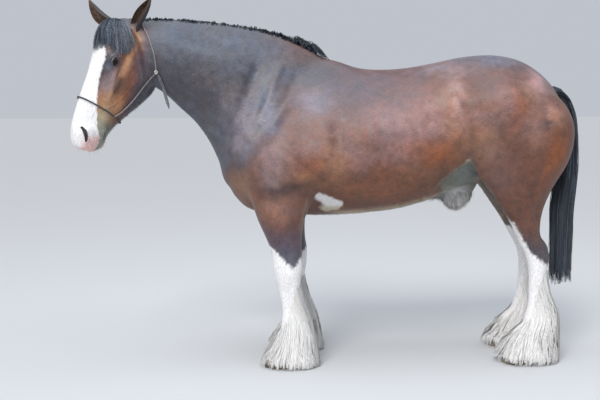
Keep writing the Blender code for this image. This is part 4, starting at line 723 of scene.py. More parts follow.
def coat_colour(points):
    """Base colour of the coat at each point, with painted highlights and painted shade laid into it."""
    x, y, z = points.T
    spot = in_head(points)
    warped = points + 0.03 * np.stack([ripple(points, 11.0, seed) for seed in (1.0, 2.0, 3.0)], 1)
    colour = np.tile(BAY, (len(points), 1))

    def lay(tint, share):
        colour[:] = mix(colour, tint, share)

    for *numbers, tint, share in TINTS:
        lay(tint, blob(warped, *np.reshape(numbers, (2, 3)) / 1000) * share)
    neck = step_up(-warped[:, 0], 0.10, 0.40) * step_up(warped[:, 2] - 0.9 * warped[:, 0] - 1.34, 0.08, 0.32)
    lay(SLATE, neck * 0.95)
    under_crest = np.interp(x, (-1.06, -0.12, 0.04), (1.86, 1.75, 1.66)) - z
    # The first tint below is a painted sky sheen in a band just under the crest; the second lightens the
    # lower neck.
    lay(STEEL, neck * bell((under_crest - 0.05) / 0.10) * 0.75)
    lay(STEEL, neck * step_up(under_crest, 0.30, 0.55) * 0.40)
    for *numbers, tint, share in NECK_TINTS:
        lay(tint, neck * blob(warped, *np.reshape(numbers, (2, 3)) / 1000) * share)
    for path, width, tint, share in STREAKS:
        away, _ = path_distance(warped[:, [0, 2]], path)
        lay(tint, bell(away / width) * share * step_up(np.abs(y), 0.05, 0.12))
    # belly, groin and the inside of the thighs
    bottom = np.interp(x, *np.array(TORSO_RIBS)[:, [0, 2]].T)
    belly = (1 - step_up(z - bottom, 0.016, 0.055)) * step_up(x, -0.05, 0.10) * step_up(-x, -0.68, -0.55)
    lay(CREAM, belly * 0.55)
    inner = (z < flank_line(x)) * step_up(x, 0.58, 0.66) * step_up(-x, -0.90, -0.84) * step_up(z, 0.86, 0.92)
    lay(GREY_SKIN, inner * 0.90)
    # painted shade in the deep corner of the groin between belly and thigh
    lay(BLACK, inner * blob(points, (0.81, 0.20, 1.05), (0.05, 0.30, 0.07)) * 0.65)
    thigh = (1 - step_up(np.abs(y), 0.150, 0.200)) * step_up(x, 0.84, 0.90) * step_up(-z, -1.10, -1.00)
    lay(OLIVE, thigh * 0.80)
    lay(TAN, thigh * step_up(ripple(points, 22.0, 6.0), 0.0, 0.6) * 0.35)
    # legs darken towards the white
    lay(DUSK, step_up(-z, -0.84, -0.66) * (x < 0.2) * 0.85)
    lay(STEEL, step_up(-z, -0.70, -0.58) * (x < 0.2) * 0.75)
    lay(SLATE, step_up(-z, -0.78, -0.62) * (x > 0.6) * 0.85)
    # painted shade between the forelegs, under the chest
    lay(BLACK, blob(points, (-0.20, 0.10, 0.98), (0.16, 0.10, 0.10)) * 0.45)
    head = step_up(spot[:, 0] - 0.35 * np.minimum(0, spot[:, 1] + 0.05), 0.00, 0.14) * step_up(-x, 0.90, 0.99)
    lay(face_colour(spot), head)
    light = 1 + 0.10 * ripple(points, 14.0, 3.0) + 0.08 * ripple(points, 37.0, 7.0)
    light += 0.07 * ripple(points, 110.0, 1.0)
    colour *= light[:, None]
    # white marks, pink muzzle and the line of the lips
    white = white_share(points)
    pale = step_up(-z, -0.89, -0.86) * (z > 0.8) * (x < 0.2)
    tone = mix(np.tile(WHITE, (len(points), 1)), CREAM, pale * 0.8)
    colour += (tone - colour) * white[:, None]
    end = step_up(spot[:, 0] + 0.6 * np.clip(-spot[:, 1] - 0.11, 0, 0.06), 0.655, 0.71)
    pink = step_up(-spot[:, 1], 0.080, 0.115) + 0.4 * step_up(ripple(points, 60.0, 8.0), 0.1, 0.5)
    lay(PINK, end * head * white * np.clip(pink, 0, 1) * 0.85)
    lips, _ = path_distance(spot[:, :2], ((0.600, -0.205), (0.632, -0.206), (0.665, -0.212)))
    lay(SLATE, head * bell(lips / 0.008) * 0.70)
    return np.clip(colour, 0, 1)


def face_colour(spot):
    """The face beside the blaze: dark brow and jaw, warm cheek, grey lips, and painted shade under the facial
    crest.
    """
    along, out = spot[:, 0], spot[:, 1]
    colour = np.tile(BAY, (len(spot), 1))

    def lay(tint, share):
        colour[:] = mix(colour, tint, share)

    def lay_spots(rows):
        for *numbers, tint, share in rows:
            a, b, size_a, size_b = np.array(numbers) / 1000
            lay(tint, bell((along - a) / size_a) * bell((out - b) / size_b) * share)

    lay_spots(CHEEK_TINTS)
    lay(DUSK, step_up(-out - 0.25 * along, 0.10, 0.16) * (1 - step_up(along, 0.40, 0.56)) * 0.55)
    lay(SLATE * 1.1, step_up(-out - 0.20 * along, 0.15, 0.22) * (1 - step_up(along, 0.46, 0.56)) * 0.90)
    lay(SLATE, (1 - step_up(along, 0.16, 0.24)) * step_up(out, -0.11, -0.05) * 0.9)
    lay_spots(BROW_TINTS)
    # A painted shadow under the facial crest.
    crest_shadow, _ = path_distance(spot[:, :2], ((0.333, -0.152), (0.368, -0.156), (0.400, -0.153)))
    lay(BLACK, bell(crest_shadow / 0.018) * 0.68)
    lay(GREY_SKIN * 1.6, step_up(along, 0.52, 0.61) * 0.80)
    lay_spots(MUZZLE_TINTS)
    return colour


# Unwrap of the skin's own shape, for baking

def part_number(points):
    """0 head, 1 neck, 2 trunk, then the four legs and the tail."""
    x, y, z = points.T
    number = np.where(x + 0.5 * z < 0.45, 1, 2)
    number[(in_head(points)[:, 0] > 0.02) & (x < -0.93)] = 0
    number[(z < 0.93) & (x < 0.25)] = 3
    number[(z < 0.93) & (x > 0.80)] = 5
    number[(z < 0.93) & ((x < 0.25) | (x > 0.80)) & (y >= 0)] += 1
    number[x > 1.36] = 7
    return number


def facing_of(normals):
    """The axis that each normal follows most, and whether it points up that axis."""
    strongest = np.abs(normals).argmax(axis=1)
    return strongest, normals[np.arange(len(normals)), strongest] > 0


def on_sheet(points, part, axis, upwards):
    """Places on a sheet of 8 by 6 charts: one row for each part, one column for each way it faces."""
    first = np.where(axis == 0, points[:, 1], points[:, 0])
    second = np.where(axis == 2, points[:, 1], points[:, 2])
    u = (axis * 2 + upwards + 0.04 + 0.92 * np.clip((first + 1.6) / 3.2, 0, 1)) / 6
    v = (part + 0.04 + 0.92 * np.clip((second + 0.5) / 2.7, 0, 1)) / 8
    return np.stack((u, v), 1)


def put_uv(mesh, uv):
    write(mesh.uv_layers.new(name="OFBake").data, "uv", uv)


def unwrap_mesh(mesh):
    """UVs for a mesh, chart by chart from the way each face looks."""
    part = part_number(read(mesh.polygons, "center", 3))
    facing = facing_of(read(mesh.polygons, "normal", 3))
    totals = read(mesh.polygons, "loop_total", kind=np.int32)
    corners = read(mesh.loops, "vertex_index", kind=np.int32)
    put_uv(mesh, on_sheet(points_of(mesh)[corners], *[np.repeat(value, totals) for value in (part, *facing)]))


def set_colours(mesh, colours):
    """Paints the points, each in its own colour or all in one."""
    rgba = np.ones((len(mesh.vertices), 4))
    rgba[:, :3] = colours
    write(mesh.color_attributes.new(name="Coat", type="FLOAT_COLOR", domain="POINT").data, "color", rgba)


def dress(obj, colours):
    set_colours(obj.data, colours)
    unwrap_mesh(obj.data)
    return obj


# Materials

FLECK = (0.36, 0.27, 0.27, 1)
WARM = (1.10, 0.96, 0.84, 1)
COOL = (0.90, 0.96, 1.06, 1)


class Look:
    """A material in the making, with short ways to add nodes and join them."""

    def __init__(self, name, inputs):
        self.material = bpy.data.materials.new(name)
        self.material.use_nodes = True
        self.tree = self.material.node_tree
        self.shader = self.tree.nodes["Principled BSDF"]
        self.fill(self.shader, inputs)

    def fill(self, node, inputs):
        """Joins each input to a socket, or sets it to a number or colour."""
        for key, value in inputs.items():
            if isinstance(value, bpy.types.NodeSocket):
                self.tree.links.new(value, node.inputs[key])
            else:
                node.inputs[key].default_value = value

    def add(self, kind, output, inputs=None, **settings):
        """The named output of a new node."""
        node = self.tree.nodes.new("ShaderNode" + kind)
        for key, value in settings.items():
            setattr(node, key, value)
        self.fill(node, inputs or {})
        return node.outputs[output]

    def paint(self):
        return self.add("Attribute", "Color", attribute_name="Coat")

    def noise(self, scale, detail, stretch=None):
        """A noise over the object, drawn out along an axis where stretch says so."""
        place = self.add("TexCoord", "Object")
        if stretch:
            place = self.add("Mapping", "Vector", {"Vector": place, "Scale": stretch})
        return self.add("TexNoise", "Fac", {"Vector": place, "Scale": scale, "Detail": detail})

    def ranged(self, value, low, high, start=0.25, stop=0.75):
        """A value carried over from start..stop to low..high."""
        return self.add("MapRange", "Result", {"Value": value, "From Min": start, "From Max": stop,
                                               "To Min": low, "To Max": high})

    def product(self, one, two):
        return self.add("Math", "Value", {0: one, 1: two}, operation="MULTIPLY")

    def blended(self, kind, factor, one, two):
        inputs = {"Factor": factor, "A": one, "B": two}
        return self.add("Mix", "Result", inputs, data_type="RGBA", blend_type=kind)

    def bump(self, height, strength, distance, **normal):
        inputs = {"Height": height, "Strength": strength, "Distance": distance, **normal}
        return self.add("Bump", "Normal", inputs)


def skin_material():
    """The coat's own paint with short hair along its lie, mottles, pale flecks and an uneven gloss."""
    look = Look("coat", {"Specular IOR Level": 0.45, "Sheen Weight": 0.04})
    paint = look.paint()
    lie = look.add("Attribute", "Fac", attribute_name="Lie")
    hairs = look.blended("MIX", lie, look.noise(330.0, 3.0, (0.16, 1.0, 0.9)),
                         look.noise(330.0, 3.0, (1.0, 1.0, 0.16)))
    mottle = look.noise(24.0, 6.0)
    cloud = look.noise(9.0, 4.0)
    dark = look.ranged(paint, 1.0, 0.0, 0.12, 0.45)
    warm = look.product(dark, look.ranged(cloud, 0.0, 0.8, 0.45, 0.70))
    cool = look.product(dark, look.ranged(cloud, 0.8, 0.0, 0.30, 0.55))
    colour = look.blended("MULTIPLY", 1.0, paint, look.ranged(hairs, 0.70, 1.28))
    colour = look.blended("MULTIPLY", dark, colour, look.ranged(mottle, 0.72, 1.28))
    colour = look.blended("MULTIPLY", warm, colour, WARM)
    colour = look.blended("MULTIPLY", cool, colour, COOL)
    flecks = look.ranged(look.noise(150.0, 2.0), 0.0, 0.11, 0.56, 0.74)
    colour = look.blended("LIGHTEN", flecks, colour, FLECK)
    fine = look.bump(hairs, 0.40, 0.0012)
    look.fill(look.shader, {"Base Color": colour, "Roughness": look.ranged(mottle, 0.34, 0.58),
                            "Normal": look.bump(mottle, 0.38, 0.006, Normal=fine)})
    return look.material


def fur_material(name, rough, grain, bump):
    """Colour from the mesh's own paint, with a fine grain in colour and relief."""
    look = Look(name, {"Roughness": rough, "Specular IOR Level": 0.42})
    noise = look.noise(grain, 4.0)
    colour = look.blended("MULTIPLY", 1.0, look.paint(), look.ranged(noise, 0.78, 1.18))
    look.fill(look.shader, {"Base Color": colour, "Normal": look.bump(noise, bump, 0.002)})
    return look.material


def plain_material(name, dark, light, rough, grain, bump=0.3, metal=0.0, stretch=None):
    """Two shades mixed by a noise that can be drawn out along an axis."""
    look = Look(name, {"Roughness": rough, "Metallic": metal})
    noise = look.noise(grain, 5.0, stretch)
    shade = look.add("ValToRGB", "Color", {"Fac": noise})
    for element, position, tint in zip(shade.node.color_ramp.elements, (0.35, 0.65), (dark, light)):
        element.position = position
        element.color = (*tint, 1)
    look.fill(look.shader, {"Base Color": shade, "Normal": look.bump(noise, bump, 0.002)})
    return look.material


def eye_material():
    look = Look("wet_eye", {"Roughness": 0.14, "Specular IOR Level": 0.20,
                            "Coat Weight": 0.15, "Coat Roughness": 0.03})
    look.fill(look.shader, {"Base Color": look.paint()})
    return look.material


# Hair: many strands as one closed mesh

ROUNDNESS = 0.45               # how much a strand's own roundness shades it, against the body under it
STRAND_FLAT = 0.55             # thickness of a strand's section against its width
STRAND_UV = 0.003              # room of one strand on the sheet


def side_axes(paths, facing):
    """Two directions across each path: to its side, and away from the body."""
    along = unit(np.gradient(paths, axis=1))
    side = unit(np.cross(along, facing[:, None]))
    return side, np.cross(side, along)


def strand_mesh(name, paths, radii, colours, facing, roundness=ROUNDNESS, roots=None):
    """Three-sided strands along the paths (strand, point, axis), with a radius and colour for each point."""
    count, steps, _ = paths.shape
    side, other = side_axes(paths, facing)
    rings = np.empty((count, steps, 3, 3))
    for k in range(3):
        angle = 2 * math.pi * k / 3 + math.pi / 6
        corner = side * math.cos(angle) + other * (STRAND_FLAT * math.sin(angle))
        rings[:, :, k] = paths + corner * radii[:, :, None]
    index = np.arange(count * steps * 3).reshape(count, steps, 3)
    turned = np.roll(index, -1, axis=2)
    quads = np.stack((index[:, 1:], turned[:, 1:], turned[:, :-1], index[:, :-1]), 3).reshape(-1, 4)
    caps = np.concatenate((index[:, 0], index[:, -1, ::-1]))
    loops = np.concatenate((quads.ravel(), caps.ravel()))
    starts = np.concatenate((np.arange(len(quads)) * 4, len(quads) * 4 + np.arange(len(caps)) * 3))
    mesh = bpy.data.meshes.new(name)
    mesh.vertices.add(count * steps * 3)
    write(mesh.vertices, "co", rings)
    mesh.loops.add(len(loops))
    write(mesh.loops, "vertex_index", loops, np.int32)
    mesh.polygons.add(len(starts))
    write(mesh.polygons, "loop_start", starts, np.int32)
    mesh.update(calc_edges=True)
    mesh.shade_smooth()
    out = unit(rings - paths[:, :, None]) * roundness + facing[:, None, None] * (1 - roundness)
    mesh.normals_split_custom_set_from_vertices(unit(out).reshape(-1, 3))
    set_colours(mesh, np.repeat(colours.reshape(-1, 3), 3, axis=0))
    roots = paths[:, 0] if roots is None else roots
    base = on_sheet(roots, part_number(roots), *facing_of(facing))
    within = np.stack(((loops % 3) / 3 - 0.5, (loops // 3) % steps / (steps - 1) - 0.5), 1)
    put_uv(mesh, base[loops // (steps * 3)] + STRAND_UV * within)
    return linked(name, mesh)


def clumped(guides, facing, draw, per_clump, spread, tip_spread, wave=0.0):
    """Strands round each guide path that draw together towards its tip."""
    clumps, steps, _ = guides.shape
    t = np.linspace(0, 1, steps)[None, :, None]
    width = spread * (1 - t) + tip_spread * t
    side, other = side_axes(guides, facing)
    paths = []
    for _ in range(per_clump):
        across = draw.normal(0, 0.6, (clumps, 1, 1))
        out = draw.normal(0, 0.35, (clumps, 1, 1))
        sway = wave * np.sin(draw.uniform(0, 6.28, (clumps, 1, 1)) + 7 * t) * t
        paths.append(guides + side * (across * width + sway) + other * out * width)
    return np.concatenate(paths), np.tile(facing, (per_clump, 1))


def strand_radii(count, steps, thick, draw, tip=0.25):
    """Radius along each strand: full to the middle, then thinner to the tip."""
    shape = np.interp(np.linspace(0, 1, steps), (0, 0.6, 1), (1, 0.85, tip))
    return thick * draw.uniform(0.7, 1.25, (count, 1)) * shape


def strand_colours(count, steps, dark, light, draw, lift=0.25, clumps=0):
    """Each clump and strand has its own shade between dark and light, a little lighter to the tip."""
    share = draw.uniform(0, 1, (count, 1, 1)) ** 1.5
    if clumps:
        whole = draw.uniform(0, 1, (clumps, 1, 1)) ** 1.3
        share = 0.35 * share + 0.65 * np.tile(whole, (count // clumps, 1, 1))
    t = np.linspace(0, 1, steps)[None, :, None]
    return np.clip((dark + (light - dark) * share) * (1 - lift / 2 + lift * t), 0, 1)


def grow(name, draw, guides, facing, clump, thick, dark, light, by_clump=True, roundness=ROUNDNESS):
    """Hair along the guides: clump holds the strands for each, their spread at root and tip, and a wave."""
    paths, faces = clumped(np.array(guides), np.array(facing), draw, *clump)
    count, steps, _ = paths.shape
    colours = strand_colours(count, steps, dark, light, draw, clumps=len(guides) * by_clump)
    return strand_mesh(name, paths, strand_radii(count, steps, thick, draw), colours, faces, roundness)


# Leg hair: z, front x, rear x, inner y, outer y

FORE_FEATHER = mm((
    (0, -372, -40, 55, 315), (50, -362, -46, 62, 308), (100, -332, -54, 78, 290),
    (175, -286, -68, 100, 268), (250, -260, -90, 118, 250), (340, -256, -114, 130, 238),
    (460, -285, -143, 122, 246)))
HIND_FEATHER = mm((
    (0, 915, 1290, 50, 325), (50, 925, 1292, 55, 318), (100, 950, 1294, 72, 302),
    (160, 983, 1292, 92, 284), (233, 1062, 1288, 110, 266), (275, 1095, 1284, 122, 256),
    (395, 1108, 1254, 134, 244), (520, 1108, 1222, 132, 244)))
HOOF_TOP = 0.075
FEATHER_LOW = 0.092            # lowest roots
FEATHER_FLOOR = 0.0022         # no hair point lies lower
FEATHER_WHITE = srgb(250, 249, 248)
FEATHER_SHADE = srgb(238, 236, 233)


def measures(rows, z):
    """Front, rear, inner and outer place in a table at height z."""
    table = np.array(sorted(rows)).T
    return [np.interp(z, table[0], column) for column in table[1:]]


def outline_points(rows, z, angle, sign, step):
    """Points on a leg's or its hair's outline: angle 0 is the rear, a quarter turn the outer side."""
    front, rear, inner, outer = measures(rows, z)
    return np.stack(((front + rear) / 2 + stepped(step, z) + np.cos(angle) * (rear - front) / 2,
                     sign * ((inner + outer) / 2 + np.sin(angle) * (outer - inner) / 2), z), -1)


def feather(name, ribs, hair, top, sign, step, seed):
    """White leg hair that starts behind the cannon and spreads over the whole hoof."""
    draw = np.random.default_rng(seed)
    clumps, steps = 780, 7
    root_z = top - (top - FEATHER_LOW) * draw.uniform(0, 1, clumps) ** 0.8
    spread = np.interp(root_z, (0.10, 0.17, 0.26, top), (math.pi, math.pi, 2.1, 0.9))
    angle = draw.uniform(-1, 1, clumps) * spread
    rear = 0.5 + 0.5 * np.cos(angle)
    long = (0.085 + 0.16 * rear) * draw.uniform(0.75, 1.15, clumps) + 0.07 * (root_z > 0.2)
    tip_z = np.maximum(root_z - long, 0.004 + draw.uniform(0, 1, clumps) ** 2 * 0.03)
    layer = 1 - 0.65 * draw.uniform(0, 1, clumps) ** 1.5
    drift = draw.uniform(-0.10, 0.10, clumps)
    t = np.linspace(0, 1, steps)
    z = root_z[:, None] + (tip_z - root_z)[:, None] * t
    turned = angle[:, None] + drift[:, None] * t
    inner = outline_points(ribs, np.maximum(z, HOOF_TOP), turned, sign, step)
    outer = outline_points(hair, z, turned, sign, step)
    share = (0.06 + 0.94 * np.minimum(1, t * 1.5)[None] ** 0.8) * layer[:, None]
    share = np.clip(share + 0.18 * step_up(-z, -0.10, -0.03), 0, 0.985)
    guides = inner + (outer - inner) * share[:, :, None]
    guides[:, :, 2] = z
    facing = unit(np.stack((np.cos(angle), sign * np.sin(angle), np.full(clumps, 0.35)), 1))
    guides[:, 0] = outline_points(ribs, root_z, angle, sign, step) - facing * 0.004
    paths, faces = clumped(guides, facing, draw, 5, 0.010, 0.005, 0.005)
    paths[:, :, 2] = np.maximum(paths[:, :, 2], FEATHER_FLOOR)
    radii = strand_radii(len(paths), steps, 0.0018, draw)
    colours = strand_colours(len(paths), steps, FEATHER_SHADE, FEATHER_WHITE, draw, 0.06, clumps)
    # Strands darken a little, each by its own amount, towards the floor.
    low_darkening = 1 - 0.18 * step_up(-paths[:, :, 2], -0.05, -0.005) * draw.uniform(0, 1, (len(paths), 1))
    return strand_mesh(name, paths, radii, colours * low_darkening[:, :, None], faces, 0.36)


def under_feather(name, ribs, hair, top, sign, step):
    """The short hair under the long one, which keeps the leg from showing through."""
    rings = []
    sides, levels = 40, 34
    angles = np.linspace(0, 2 * math.pi, sides + 1)[:-1]
    for z in np.linspace(0.030, top, levels):
        inner = outline_points(ribs, np.full(sides, max(z, HOOF_TOP)), angles, sign, step)
        outer = outline_points(hair, np.full(sides, z), angles, sign, step)
        reach = np.interp(z, (0.03, 0.12, top - 0.16, top - 0.07, top), (0.42, 0.40, 0.20, -0.05, -0.60))
        ring = inner + (outer - inner) * (reach + 0.04 * np.sin(angles * 17 + z * 21))[:, None]
        front = (0.5 - 0.5 * np.cos(angles)) ** 0.7 * step_up(z, 0.17, 0.25)
        sunk = 0.012 * np.maximum(front, step_up(z, top - 0.14, top - 0.03))
        ring -= (ring - ring.mean(axis=0)) * (sunk / 0.045)[:, None]
        ring[:, 2] = z
        rings.append(ring)
    return dress(lofted(name, rings), FEATHER_SHADE)


# Mane, forelock and tail

HAIR_DARK = srgb(35, 38, 45)
HAIR_LIGHT = srgb(86, 95, 108)
CREST_START = -1.00            # x of the first lock of the mane
CREST_LENGTH = 0.92
ROOT_SINK = 0.008              # how deep the roots of mane and tuft start in the skin
TAIL_TOP = 1.47
TAIL_END_X = 1.345
# Tail: middle line as x, z, then half-depth along x and half-width along y
TAIL_CORE = mm((
    (1225, 1495, 30, 32), (1300, 1478, 40, 46), (1352, 1395, 36, 52), (1372, 1260, 34, 54),
    (1374, 1100, 36, 56), (1370, 940, 34, 50), (1366, 820, 16, 22)))


def crest_y(x):
    """How far the crest lies from the middle plane."""
    return np.interp(x, *np.array(sorted((row[0], row[4]) for row in NECK_RIBS)).T)


def drop_on(tree, x, y):
    """Height of the skin's top at this place."""
    return tree.ray_cast(Vector((x, y, 3.0)), Vector((0, 0, -1)))[0].z


def mane(tree):
    """Locks that rise from the crest and fall down the right side of the neck."""
    draw = np.random.default_rng(5)
    clumps, steps = 330, 11
    guides, facing = [], []
    for k in range(clumps):
        x = CREST_START + CREST_LENGTH * (k + draw.uniform(-0.5, 0.5)) / clumps
        y = crest_y(x)
        share = (x - CREST_START) / CREST_LENGTH
        long = (0.24 + 0.10 * math.sin(math.pi * share)) * draw.uniform(0.70, 1.10)
        top = drop_on(tree, x, y)
        rise = draw.uniform(0.003, 0.010 + 0.008 * step_up(x, -0.5, -0.3))
        points = [Vector((x, y - 0.016 + draw.uniform(0, 0.020), top - ROOT_SINK)),
                  Vector((x + 0.004, y + 0.012, top + rise))]
        for part, lift in ((0.22, 0.012), (0.60, 0.010), (1.0, 0.006)):
            low = top - long * part
            back = x + 0.012 + 0.060 * part * part + draw.uniform(-0.010, 0.010)
            hit = tree.ray_cast(Vector((back, 1.5, low)), Vector((0, -1, 0)))[0]
            points.append(Vector((back, hit.y + lift + draw.uniform(0, 0.008), low)))
        guides.append(curve_through(points, steps))
        facing.append((0.0, 0.75, 0.66))
    # the tuft on the withers, cut short where it rises
    for _ in range(46):
        x = -0.20 + 0.16 * draw.uniform(0, 1)
        top = drop_on(tree, x, 0.0)
        reach = draw.uniform(0.05, 0.11)
        side = draw.uniform(-0.022, 0.024)
        end = drop_on(tree, x + reach, side)
        points = [Vector((x, side * 0.4, top - ROOT_SINK)),
                  Vector((x + reach * 0.35, side * 0.7, top + draw.uniform(0.014, 0.028))),
                  Vector((x + reach, side, end + draw.uniform(0.004, 0.012)))]
        guides.append(curve_through(points, steps))
        facing.append((0.0, 0.05, 1.0))
    return grow("mane", draw, guides, facing, (6, 0.009, 0.004, 0.003), 0.0016, HAIR_DARK, HAIR_LIGHT)


def round_face(tree, along, turn, lift):
    """A point on the head at this distance down the face, turned this far round from its middle line."""
    return on_face(tree, Vector((along, -0.13, 0)), Vector((0, math.cos(turn), math.sin(turn))), 0.4, lift)


def forelock(tree):
    """Hair that swells forward from the poll and falls over forehead and temples to the brow."""
    draw = np.random.default_rng(11)
    guides, facing = [], []
    for _ in range(260):
        side = draw.uniform(-1, 1)
        reach = math.radians(98 if side < 0 else 70)
        first = math.radians(38) * side + draw.uniform(-0.12, 0.12)
        last = reach * side - 0.10 + draw.uniform(-0.10, 0.10)
        stop = 0.200 - 0.020 * side * side + draw.uniform(-0.050, 0.028)
        stop += 0.012 * math.sin(9 * side + 1) + 0.009 * math.sin(25 * side)
        layer = draw.uniform(0.15, 1.0)
        points = [round_face(tree, 0.030 + draw.uniform(0, 0.035), first, -0.003)]
        for part, lift in ((0.12, 0.034), (0.48, 0.040), (0.80, 0.026), (1.0, 0.005)):
            turn = first + (last - first) * part ** 0.8
            lift = 0.004 + lift * (1 - 0.45 * abs(side)) * layer
            points.append(round_face(tree, 0.034 + (stop - 0.034) * part, turn, lift))
        guides.append(curve_through(points, 11))
        facing.append(HEAD_TURN @ Vector((-0.3, math.cos(last * 0.6), math.sin(last * 0.6))).normalized())
    return grow("forelock", draw, guides, facing, (6, 0.008, 0.005, 0.004), 0.0013,
                HAIR_DARK, HAIR_LIGHT * 1.7, roundness=0.30)


def tail():
    """Long hair that bulges round the dock and draws together at its end."""
    draw = np.random.default_rng(3)
    steps = 14
    t = np.linspace(0, 1, steps)
    core_x, core_z, _, _ = np.array(TAIL_CORE)[::-1].T
    guides, facing = [], []
    for k in range(330):
        turn = draw.uniform(-math.pi, math.pi)
        face_x, face_y = math.cos(turn), math.sin(turn)
        top = TAIL_TOP - 0.52 * draw.uniform(0, 1) ** 1.3
        low = draw.uniform(0.40, 0.72) if k % 3 else draw.uniform(0.40, 0.50)
        layer = draw.uniform(0.5, 1.0)
        z = np.linspace(top, low, steps)
        bulge = np.sin(math.pi * t) ** 0.7
        x = np.interp(z, core_z, core_x) - 0.020 * step_up(-z, -1.05, -0.80)
        x += face_x * (0.020 + 0.044 * bulge) * layer
        y = face_y * (0.024 + 0.046 * bulge) * layer
        x += (TAIL_END_X + face_x * 0.066 * layer - x) * t ** 1.5
        y += (face_y * 0.060 * layer - y) * t ** 1.5
        guides.append(np.stack((x, y, z), 1))
        facing.append((face_x, face_y, 0.1))
    # hair that covers the top of the dock
    for _ in range(60):
        side = draw.uniform(-1, 1)
        points = ((draw.uniform(1.235, 1.30), side * 0.030, 1.490 + 0.015 * (1 - abs(side))),
                  (1.345, side * 0.046, 1.462), (1.390, side * 0.052, 1.36), (1.404, side * 0.060, 1.22),
                  (1.404, side * 0.060, 1.02))
        guides.append(curve_through(points, steps))
        facing.append((0.75, side * 0.5, 0.5))
    return grow("tail_hair", draw, guides, unit(np.array(facing)), (5, 0.012, 0.007, 0.006), 0.0022,
                HAIR_DARK, HAIR_LIGHT)


def headings(points, closed=False):
    """Which way a line runs at each of its points."""
    first, last = (points[-1], points[0]) if closed else (points[0], points[-1])
    return [(Vector(after) - Vector(before)).normalized()
            for before, after in zip([first, *points], [*points[1:], last])]


def dock():
    """The fleshy root of the tail, under its hair."""
    rows = between(TAIL_CORE, 3)
    rings = []
    for (x, z, deep, wide), along in zip(rows, headings([(row[0], 0, row[1]) for row in rows])):
        rear = Vector((-along.z, 0, along.x))
        rings.append([Vector((x, s * (wide - 0.008), z)) + rear * (c * (deep - 0.006))
                      for c, s in circle(20)])
    return dress(lofted("dock", rings), HAIR_DARK * 1.3)


# Short fur

FUR_SINK = 0.0012              # how deep its roots lie in the skin


def lie_of(points):
    """The way the short hair lies: back and down over the trunk, down the legs and the face."""
    flow = np.where((points[:, 2] < 0.95)[:, None], (0.1, 0.0, -1.0), (0.8, 0.0, -0.6))
    head = (in_head(points)[:, 0] > 0.08) & (points[:, 0] < -0.93)
    return np.where(head[:, None], np.array(HEAD_TURN) @ (0.55, -0.75, 0.0), flow)


def flattened(vectors, facing):
    """The vectors without their part along facing."""
    return vectors - facing * (vectors * facing).sum(1, keepdims=True)


def fur(name, mesh, count, test, long, thick, rise, seed, dark, light):
    """Small tufts that lie flat on the skin wherever the test allows."""
    draw = np.random.default_rng(seed)
    centre = read(mesh.polygons, "center", 3)
    normal = read(mesh.polygons, "normal", 3)
    weight = read(mesh.polygons, "area") * test(centre, normal)
    chosen = draw.choice(len(centre), count, p=weight / weight.sum())
    facing = normal[chosen]
    roots = centre[chosen] + flattened(draw.normal(0, VOXEL / 3, (count, 3)), facing)
    flow = unit(flattened(lie_of(roots) + draw.normal(0, 0.16, (count, 3)), facing))
    steps = 3
    t = np.linspace(0, 1, steps)[None, :, None]
    reach = (long * draw.uniform(0.6, 1.3, count))[:, None, None]
    up = (rise * draw.uniform(0.5, 1.3, count))[:, None, None]
    paths = roots[:, None] + flow[:, None] * reach * t + facing[:, None] * (up * np.sin(1.9 * t) - FUR_SINK)
    paths[:, :, 2] -= (reach * 0.12 * t * t)[:, :, 0]
    shade = np.clip(coat_colour(roots) * draw.uniform(dark, light, (count, 1)), 0, 1)
    colours = np.repeat(shade[:, None], steps, axis=1)
    radii = strand_radii(count, steps, thick, draw, 0.3)
    return strand_mesh(name, paths, radii, colours, facing, roots=roots)


def fur_places():
    """Name, number, where it grows, length, thickness, rise, seed and shades of each patch of short fur."""
    def on_head(points):
        return (in_head(points)[:, 0] > 0.05) & (points[:, 0] < -0.93)

    def edges(normals):
        under = step_up(-normals[:, 2], 0.2, 0.7) * 2.0
        return 0.35 + under + step_up(np.abs(normals[:, 0]), 0.5, 0.9) * 0.8

    def front(points, normals):
        return edges(normals) * ((points[:, 0] < 0.32) & (points[:, 2] > 0.60) & ~on_head(points))

    def back(points, normals):
        return edges(normals) * ((points[:, 0] >= 0.32) & (points[:, 2] > 0.60))

    def face(points, normals):
        return on_head(points) & (in_head(points)[:, 0] < 0.62)

    def jaw(points, normals):
        spot = in_head(points)
        return on_head(points) & (spot[:, 0] > 0.10) & (spot[:, 1] < -0.2) & (normals[:, 2] < -0.15)

    def belly(points, normals):
        x, _, z = points.T
        return (x > -0.3) & (x < 0.95) & (normals[:, 2] < -0.5) & (z > 0.7)

    def sheath(points, normals):
        return step_up(blob(points, (0.74, 0.0, 0.88), (0.13, 0.14, 0.075)), 0.25, 0.60)

    def stocking(points, normals):
        return (points[:, 2] < np.where(points[:, 0] < 0.2, 0.66, 0.94)) & (points[:, 2] > 0.1)

    return (
        ("coat_front", 7600, front, 0.012, 0.0005, 0.0009, 61, 0.85, 1.15),
        ("coat_back", 7600, back, 0.012, 0.0005, 0.0009, 62, 0.85, 1.15),
        ("coat_face", 4500, face, 0.006, 0.0003, 0.0005, 63, 0.85, 1.15),
        ("jaw_fringe", 1600, jaw, 0.016, 0.0005, 0.004, 64, 0.85, 1.15),
        ("belly_fringe", 3200, belly, 0.018, 0.0007, 0.005, 65, 0.85, 1.15),
        ("sheath_hair", 2000, sheath, 0.046, 0.0008, 0.012, 66, 0.50, 1.50),
        ("stocking_hair", 7000, stocking, 0.024, 0.0006, 0.0012, 67, 0.94, 1.05),
    )


# Ears: points of the spine, the way the cup opens, and widths along it

